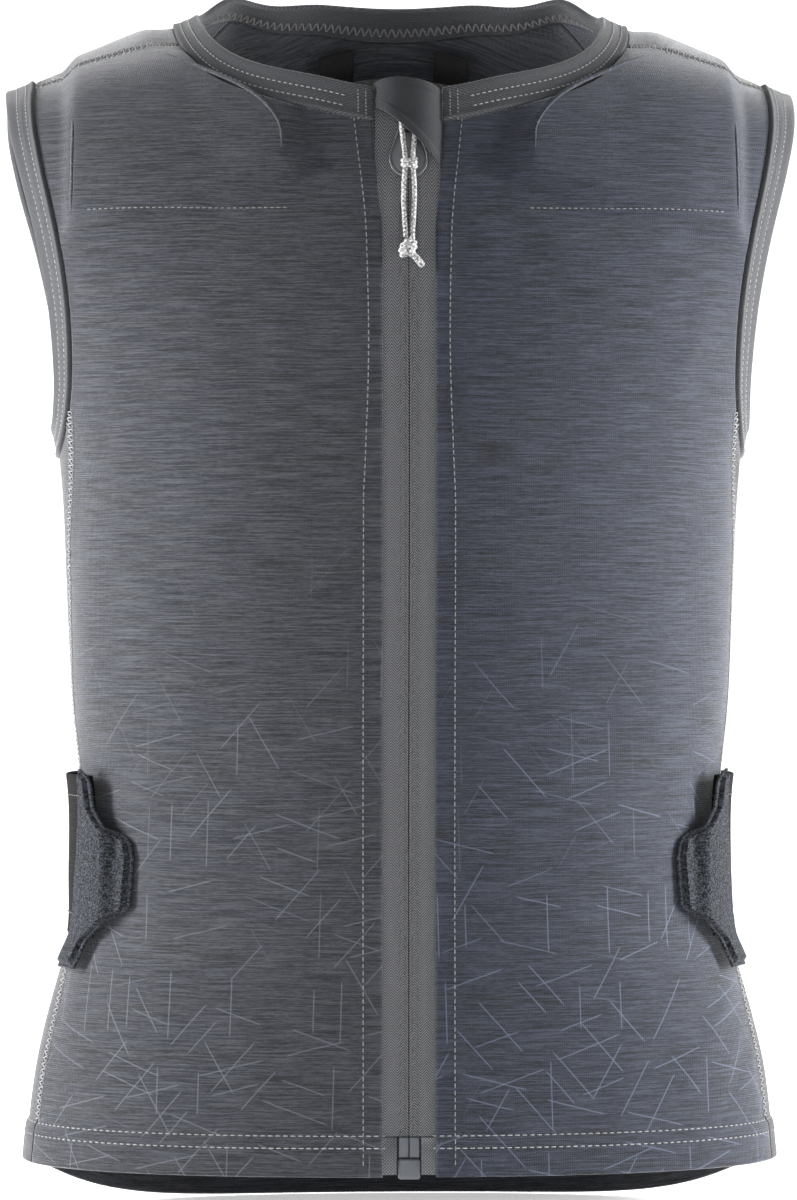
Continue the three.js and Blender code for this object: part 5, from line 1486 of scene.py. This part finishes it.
def drop_outline(turns):
    """The drop's edge in directions from the eye's middle: a round below, and straight sides to the top."""
    lean = math.asin((PULLER_RADIUS - PULLER_EYE) / PULLER_LENGTH)
    low = np.linspace(math.pi - lean, 2 * math.pi + lean, 90)
    line = [(PULLER_RADIUS * math.cos(a), DROP_CENTRE + PULLER_RADIUS * math.sin(a)) for a in low]
    line += [(PULLER_EYE, EYE_TOP - 1), (PULLER_EYE - 0.4, EYE_TOP - 0.3), (PULLER_EYE - 1, EYE_TOP)]
    line += [(1 - PULLER_EYE, EYE_TOP), (0.4 - PULLER_EYE, EYE_TOP - 0.3), (-PULLER_EYE, EYE_TOP - 1)]
    line = np.array(line) - (0, EYE_MIDDLE)
    ends = np.roll(line, -1, axis=0)
    rays = np.stack([np.cos(turns), np.sin(turns)], -1)
    found = []
    for ray in rays:
        det = ray[0] * (line - ends)[:, 1] - ray[1] * (line - ends)[:, 0]
        det = np.where(np.abs(det) < 1e-9, 1e-9, det)
        reach = (line[:, 0] * (line - ends)[:, 1] - line[:, 1] * (line - ends)[:, 0]) / det
        share = (ray[0] * line[:, 1] - ray[1] * line[:, 0]) / det
        good = (reach > 0) & (share >= -1e-6) & (share <= 1 + 1e-6)
        found.append(ray * reach[good].min())
    return np.array(found)


drop_turns = np.linspace(0, 2 * math.pi, 121)[:-1]
edge = drop_outline(drop_turns)
square = np.maximum(np.abs(np.cos(drop_turns)) / (BRIDGE_HALF + GAP), np.abs(np.sin(drop_turns)) / 0.8)
hole = np.stack([np.cos(drop_turns), np.sin(drop_turns)], -1) / square[:, None]
reach = np.linalg.norm(edge, axis=1)
half = PULLER / 2
# The rim and the web inside it: how far in from the edge, and how far below the face
RIM = ((0.0, 0.35), (0.12, 0.12), (0.35, 0.0), (1.05, 0.0), (1.3, 0.1), (1.45, 0.35), (1.6, 0.42), (2.0, 0.42),
       (2.3, 0.2), (2.6, 0.16))
loops = [(np.maximum(0.2, 1 - inset / reach)[:, None] * edge, half - below) for inset, below in RIM]
loops.append((hole * 1.15, half - 0.16))
loops.append((hole, half - 0.3))
rows = loops + [(line, -height) for line, height in loops[::-1]]
place = np.array((0.0, SLIDER_LEVEL))
way = normal(place)
high = np.cross(way, (1, 0, 0))
base = skin(0, SLIDER_LEVEL) + way * (PULLER_FACE + half) + high * EYE_MIDDLE
points = [base + np.outer(line[:, 0], (1, 0, 0)) + np.outer(line[:, 1], high) + way * height
          for line, height in rows]
count = len(drop_turns)
faces = []
for i in range(len(rows)):
    for j in range(count):
        a, b = i * count, ((i + 1) % len(rows)) * count
        faces.append((a + j, b + j, b + (j + 1) % count, a + (j + 1) % count))
puller = make_piece("zip_puller", np.concatenate(points), faces, np.concatenate([line for line, _ in rows]),
                    plastic("puller_plastic", 66, 0.34), 40)
fit(closed(puller), "puller_plastic", "zip_puller")

# The zip garage
# A flap of fine twill that covers the slider at the chin. It is folded double along its slanted lower
# edge and its top, and is sewn in beside the zip.
GARAGE = 0.9
GARAGE_LOW = 32
GARAGE_RISE = 4

twill = Finish("garage_twill", {"Roughness": 0.85, "Sheen Weight": 0.12, "Specular IOR Level": 0.2})
across, up = twill.cut()
line = ((across * 0.8 + up) / 0.62).wave()
fibre = twill.speckle(across / 0.6, up / 0.6, detail=2.0)
TWILL_TINT = (0.94, 0.99, 1.12)
tone = (line * 0.5 + fibre * 0.6).rise(0.2, 0.9)
twill.feed("Base Color", twill.blend(tone, grey(8, TWILL_TINT), grey(38, TWILL_TINT)))
twill.relief(line, 0.15)

garage_v = fine((0, 0), (1, 44))[:, None]
garage_u = fine((-1, 0), (1, 34))
share = (garage_u + 1) / 2
high_end = -GARAGE_RISE + (GARAGE_RISE - 1) * share
low_end = 0.2 * GARAGE_LOW + 0.8 * GARAGE_LOW * share
garage_down = high_end + (low_end - high_end) * garage_v
garage_level = down_zip(garage_down)
fallen = section(NECK_TOP)[0] - section(garage_level)[0]
open_half = ZIP_OPEN + ZIP_FLARE * smooth(1 - fallen / ZIP_FLARE_HEIGHT)
garage_x = garage_u * (open_half - GAP)
GARAGE_PLACES = places(angle_at(garage_x, garage_level), garage_level)
bulge = BRIDGE_TOP + CORD + 6 * GAP
inner = bulge + (2 * GAP - TAPE_BELOW - bulge) * np.abs(garage_u) ** 3
to_low = (low_end - garage_down) * 0.78
fold = 0.45 * (1 - smooth((to_low - 3.0) / 0.5)) + 0.35 * (1 - smooth((garage_down - high_end - 3.2) / 0.5))
flap, cut, _ = cloth_panel("zip_garage", GARAGE_PLACES, GARAGE, inner + GARAGE + fold, twill, edge=0.4,
                           creased=0, apart=0.0)
fit(flap, "garage_twill", "zip_garage")
lay(cut)

# The kidney belt
# A woven elastic band, 69 mm high, round the outside of the back. Its ends are sewn under the tabs.
BELT_TOP = 322
BELT_HEIGHT = 69
BELT = 1.8
BELT_STAND = 3.3
BELT_CLEAR = 0.9
BELT_START = math.radians(66)

elastic = Finish("belt_elastic", {"Roughness": 0.8, "Specular IOR Level": 0.1})
across, up = elastic.cut()
cord_line = (up / 1.15).wave()
weft = (across / 0.7 + (up / 2.3).wave()).wave()
elastic.feed("Base Color", elastic.blend(cord_line * 0.6 + weft * 0.4, grey(8), grey(22, (0.98, 1, 1.04))))
elastic.relief(cord_line * 0.7 + weft * 0.3, 0.3)

belt_v = fine((0, 0), (1, 30))
belt_level = level_at(-BELT_TOP - BELT_HEIGHT + BELT_HEIGHT * belt_v)
belt_angle = np.linspace(BELT_START - math.pi, math.pi - BELT_START, 181)
BELT_PLACES = places(belt_angle[None, :], (2 * RIDGE - belt_level)[:, None])
stand = (BELT_CLEAR + BELT_STAND * belt_v + BELT)[:, None] * np.ones_like(belt_angle)
belt, cut, face = cloth_panel("kidney_belt", BELT_PLACES, BELT, stand, elastic, edge=0.7, creased=0)
fit(belt, "belt_elastic", "kidney_belt")
out = normal(BELT_PLACES)
rows = [(face[n] + out[n] * 0.05, out[n]) for n in (6, -7)]
rows = stitch("belt_stitches", rows, DARK_THREAD, "belt_elastic", 3.0, 2.2, 0.5, 0.4)
lay(cut)

# The belt's tabs
# Thick speckled felt, cut to shape and pressed thin along its border, sewn over the belt's ends.
TAB_TOP = 319
TAB_HEIGHT = 86
TAB = 3.4
TAB_BEND = math.radians(57)
# Down the tab: its inner edge as a share of the waist, and its outer edge in degrees round
TAB_OUTLINE = np.array([
    (0, 0.95, 70), (0.05, 0.92, 70.5), (0.2, 0.912, 71), (0.29, 0.885, 71.5), (0.35, 0.835, 72),
    (0.43, 0.824, 72), (0.68, 0.836, 74), (0.75, 0.895, 75), (0.86, 0.95, 76), (1, 0.99, 77),
])

felt = Finish("tab_felt", {"Roughness": 0.95, "Sheen Weight": 0.1, "Sheen Roughness": 0.3,
                           "Specular IOR Level": 0.2})
across, up = felt.cut()
fleck = felt.speckle(across / 0.8, up / 0.8, detail=2.0, roughness=0.7)
tuft = felt.speckle(across / 2.4, up / 2.4, detail=3.0, seed=5.0, roughness=0.7)
FELT_TINT = (0.94, 0.99, 1.1)
tone = (fleck * 0.75 + tuft * 0.35).rise(0.45, 0.72)
felt.feed("Base Color", felt.blend(tone, grey(5, FELT_TINT), grey(66, FELT_TINT)))
felt.relief(fleck * 0.8 + tuft * 0.5, 0.9)

tab_v = fine((0, 0), (1, 70))
tab_u = fine((0, 0), (1, 34))
tab_level = level_at(-TAB_TOP - TAB_HEIGHT * tab_v)
tab_inner = angle_at(np.interp(tab_v, TAB_OUTLINE[:, 0], TAB_OUTLINE[:, 1]) * WAIST, tab_level)
tab_outer = np.radians(np.interp(tab_v, TAB_OUTLINE[:, 0], TAB_OUTLINE[:, 2]))
tab_angle = tab_inner[:, None] + (tab_outer - tab_inner)[:, None] * tab_u
TAB_PLACES = places(tab_angle, tab_level[:, None])
up_belt = np.clip(1 + (-TAB_TOP - TAB_HEIGHT * tab_v + BELT_TOP) / BELT_HEIGHT, 0, 1)[:, None]
under = BELT_CLEAR + smooth((tab_angle - TAB_BEND) / (BELT_START - TAB_BEND - 0.1)) * (
    BELT_CLEAR + BELT_STAND * up_belt + BELT)
points = skin(tab_angle, tab_level[:, None])
down, aside, _, _ = edge_distance(points)
pressed = 0.4 + 0.6 * smooth((np.minimum(down, aside) - 1.9) / 0.8)
for side, name in SIDES:
    tab, cut, _ = cloth_panel(f"belt_tab_{name}", TAB_PLACES, TAB * pressed, under + TAB * pressed, felt,
                              side, edge=0.7, creased=0, apart=0.0)
    fit(tab, "tab_felt", f"belt_tab_{name}")
    lay(cut)

# The studio
# A plain pale floor that runs up behind into a backdrop, and soft white light from the front and sides.
FLOOR_Z = -0.5135
BACKDROP_Y = 2.4
BACKDROP_ROUND = 1.2


def floor_height(y):
    """The floor is level up to the backdrop, and rises there in a quarter of a round."""
    past = min(1, max(0, (y - BACKDROP_Y) / BACKDROP_ROUND))
    return FLOOR_Z + BACKDROP_ROUND * (1 - math.sqrt(1 - past**2))


sweep = [(y, floor_height(y)) for y in np.linspace(-3.2, BACKDROP_Y + BACKDROP_ROUND, 40)]
sweep += [(BACKDROP_Y + BACKDROP_ROUND, FLOOR_Z + BACKDROP_ROUND + step) for step in (0.6, 1.4, 2.6)]
points = [(x, y, z) for y, z in sweep for x in (-4, 4)]
mesh = bpy.data.meshes.new("Floor")
mesh.from_pydata(points, [], [(2 * n, 2 * n + 1, 2 * n + 3, 2 * n + 2) for n in range(len(sweep) - 1)])
mesh.polygons.foreach_set("use_smooth", [True] * len(mesh.polygons))
floor = bpy.data.objects.new("Floor", mesh)
bpy.context.scene.collection.objects.link(floor)
pale = Finish("pale_floor", {"Base Color": (0.93, 0.93, 0.93, 1), "Roughness": 0.9,
                              "Emission Color": (1, 1, 1, 1), "Emission Strength": 0.45})
mesh.materials.append(pale.material)


AIM = np.array((0, 0, -0.25))


def soft_light(name, place, size, power):
    """A soft light that is turned towards the middle of the vest."""
    lamp = bpy.data.lights.new(name, "AREA")
    lamp.shape = "RECTANGLE"
    lamp.size, lamp.size_y = size
    lamp.energy = power
    light = bpy.data.objects.new(name, lamp)
    light.location = place
    way = AIM - place
    tilt = math.atan2(math.hypot(way[0], way[1]), -way[2])
    light.rotation_euler = (tilt, 0, math.atan2(-way[0], way[1]))
    bpy.context.scene.collection.objects.link(light)


soft_light("Key", (-0.4, -2.5, 0.35), (1.1, 1.1), 17)
soft_light("Left_edge", (-1.5, -0.1, -0.2), (0.35, 1.4), 105)
soft_light("Right_edge", (1.5, -0.1, -0.2), (0.35, 1.4), 115)
world = bpy.data.worlds.new("World")
world.use_nodes = True
world.node_tree.nodes["Background"].inputs["Color"].default_value = (1, 1, 1, 1)
world.node_tree.nodes["Background"].inputs["Strength"].default_value = 0.48
bpy.context.scene.world = world
bpy.context.scene.view_settings.view_transform = "Standard"

bpy.context.view_layer.update()
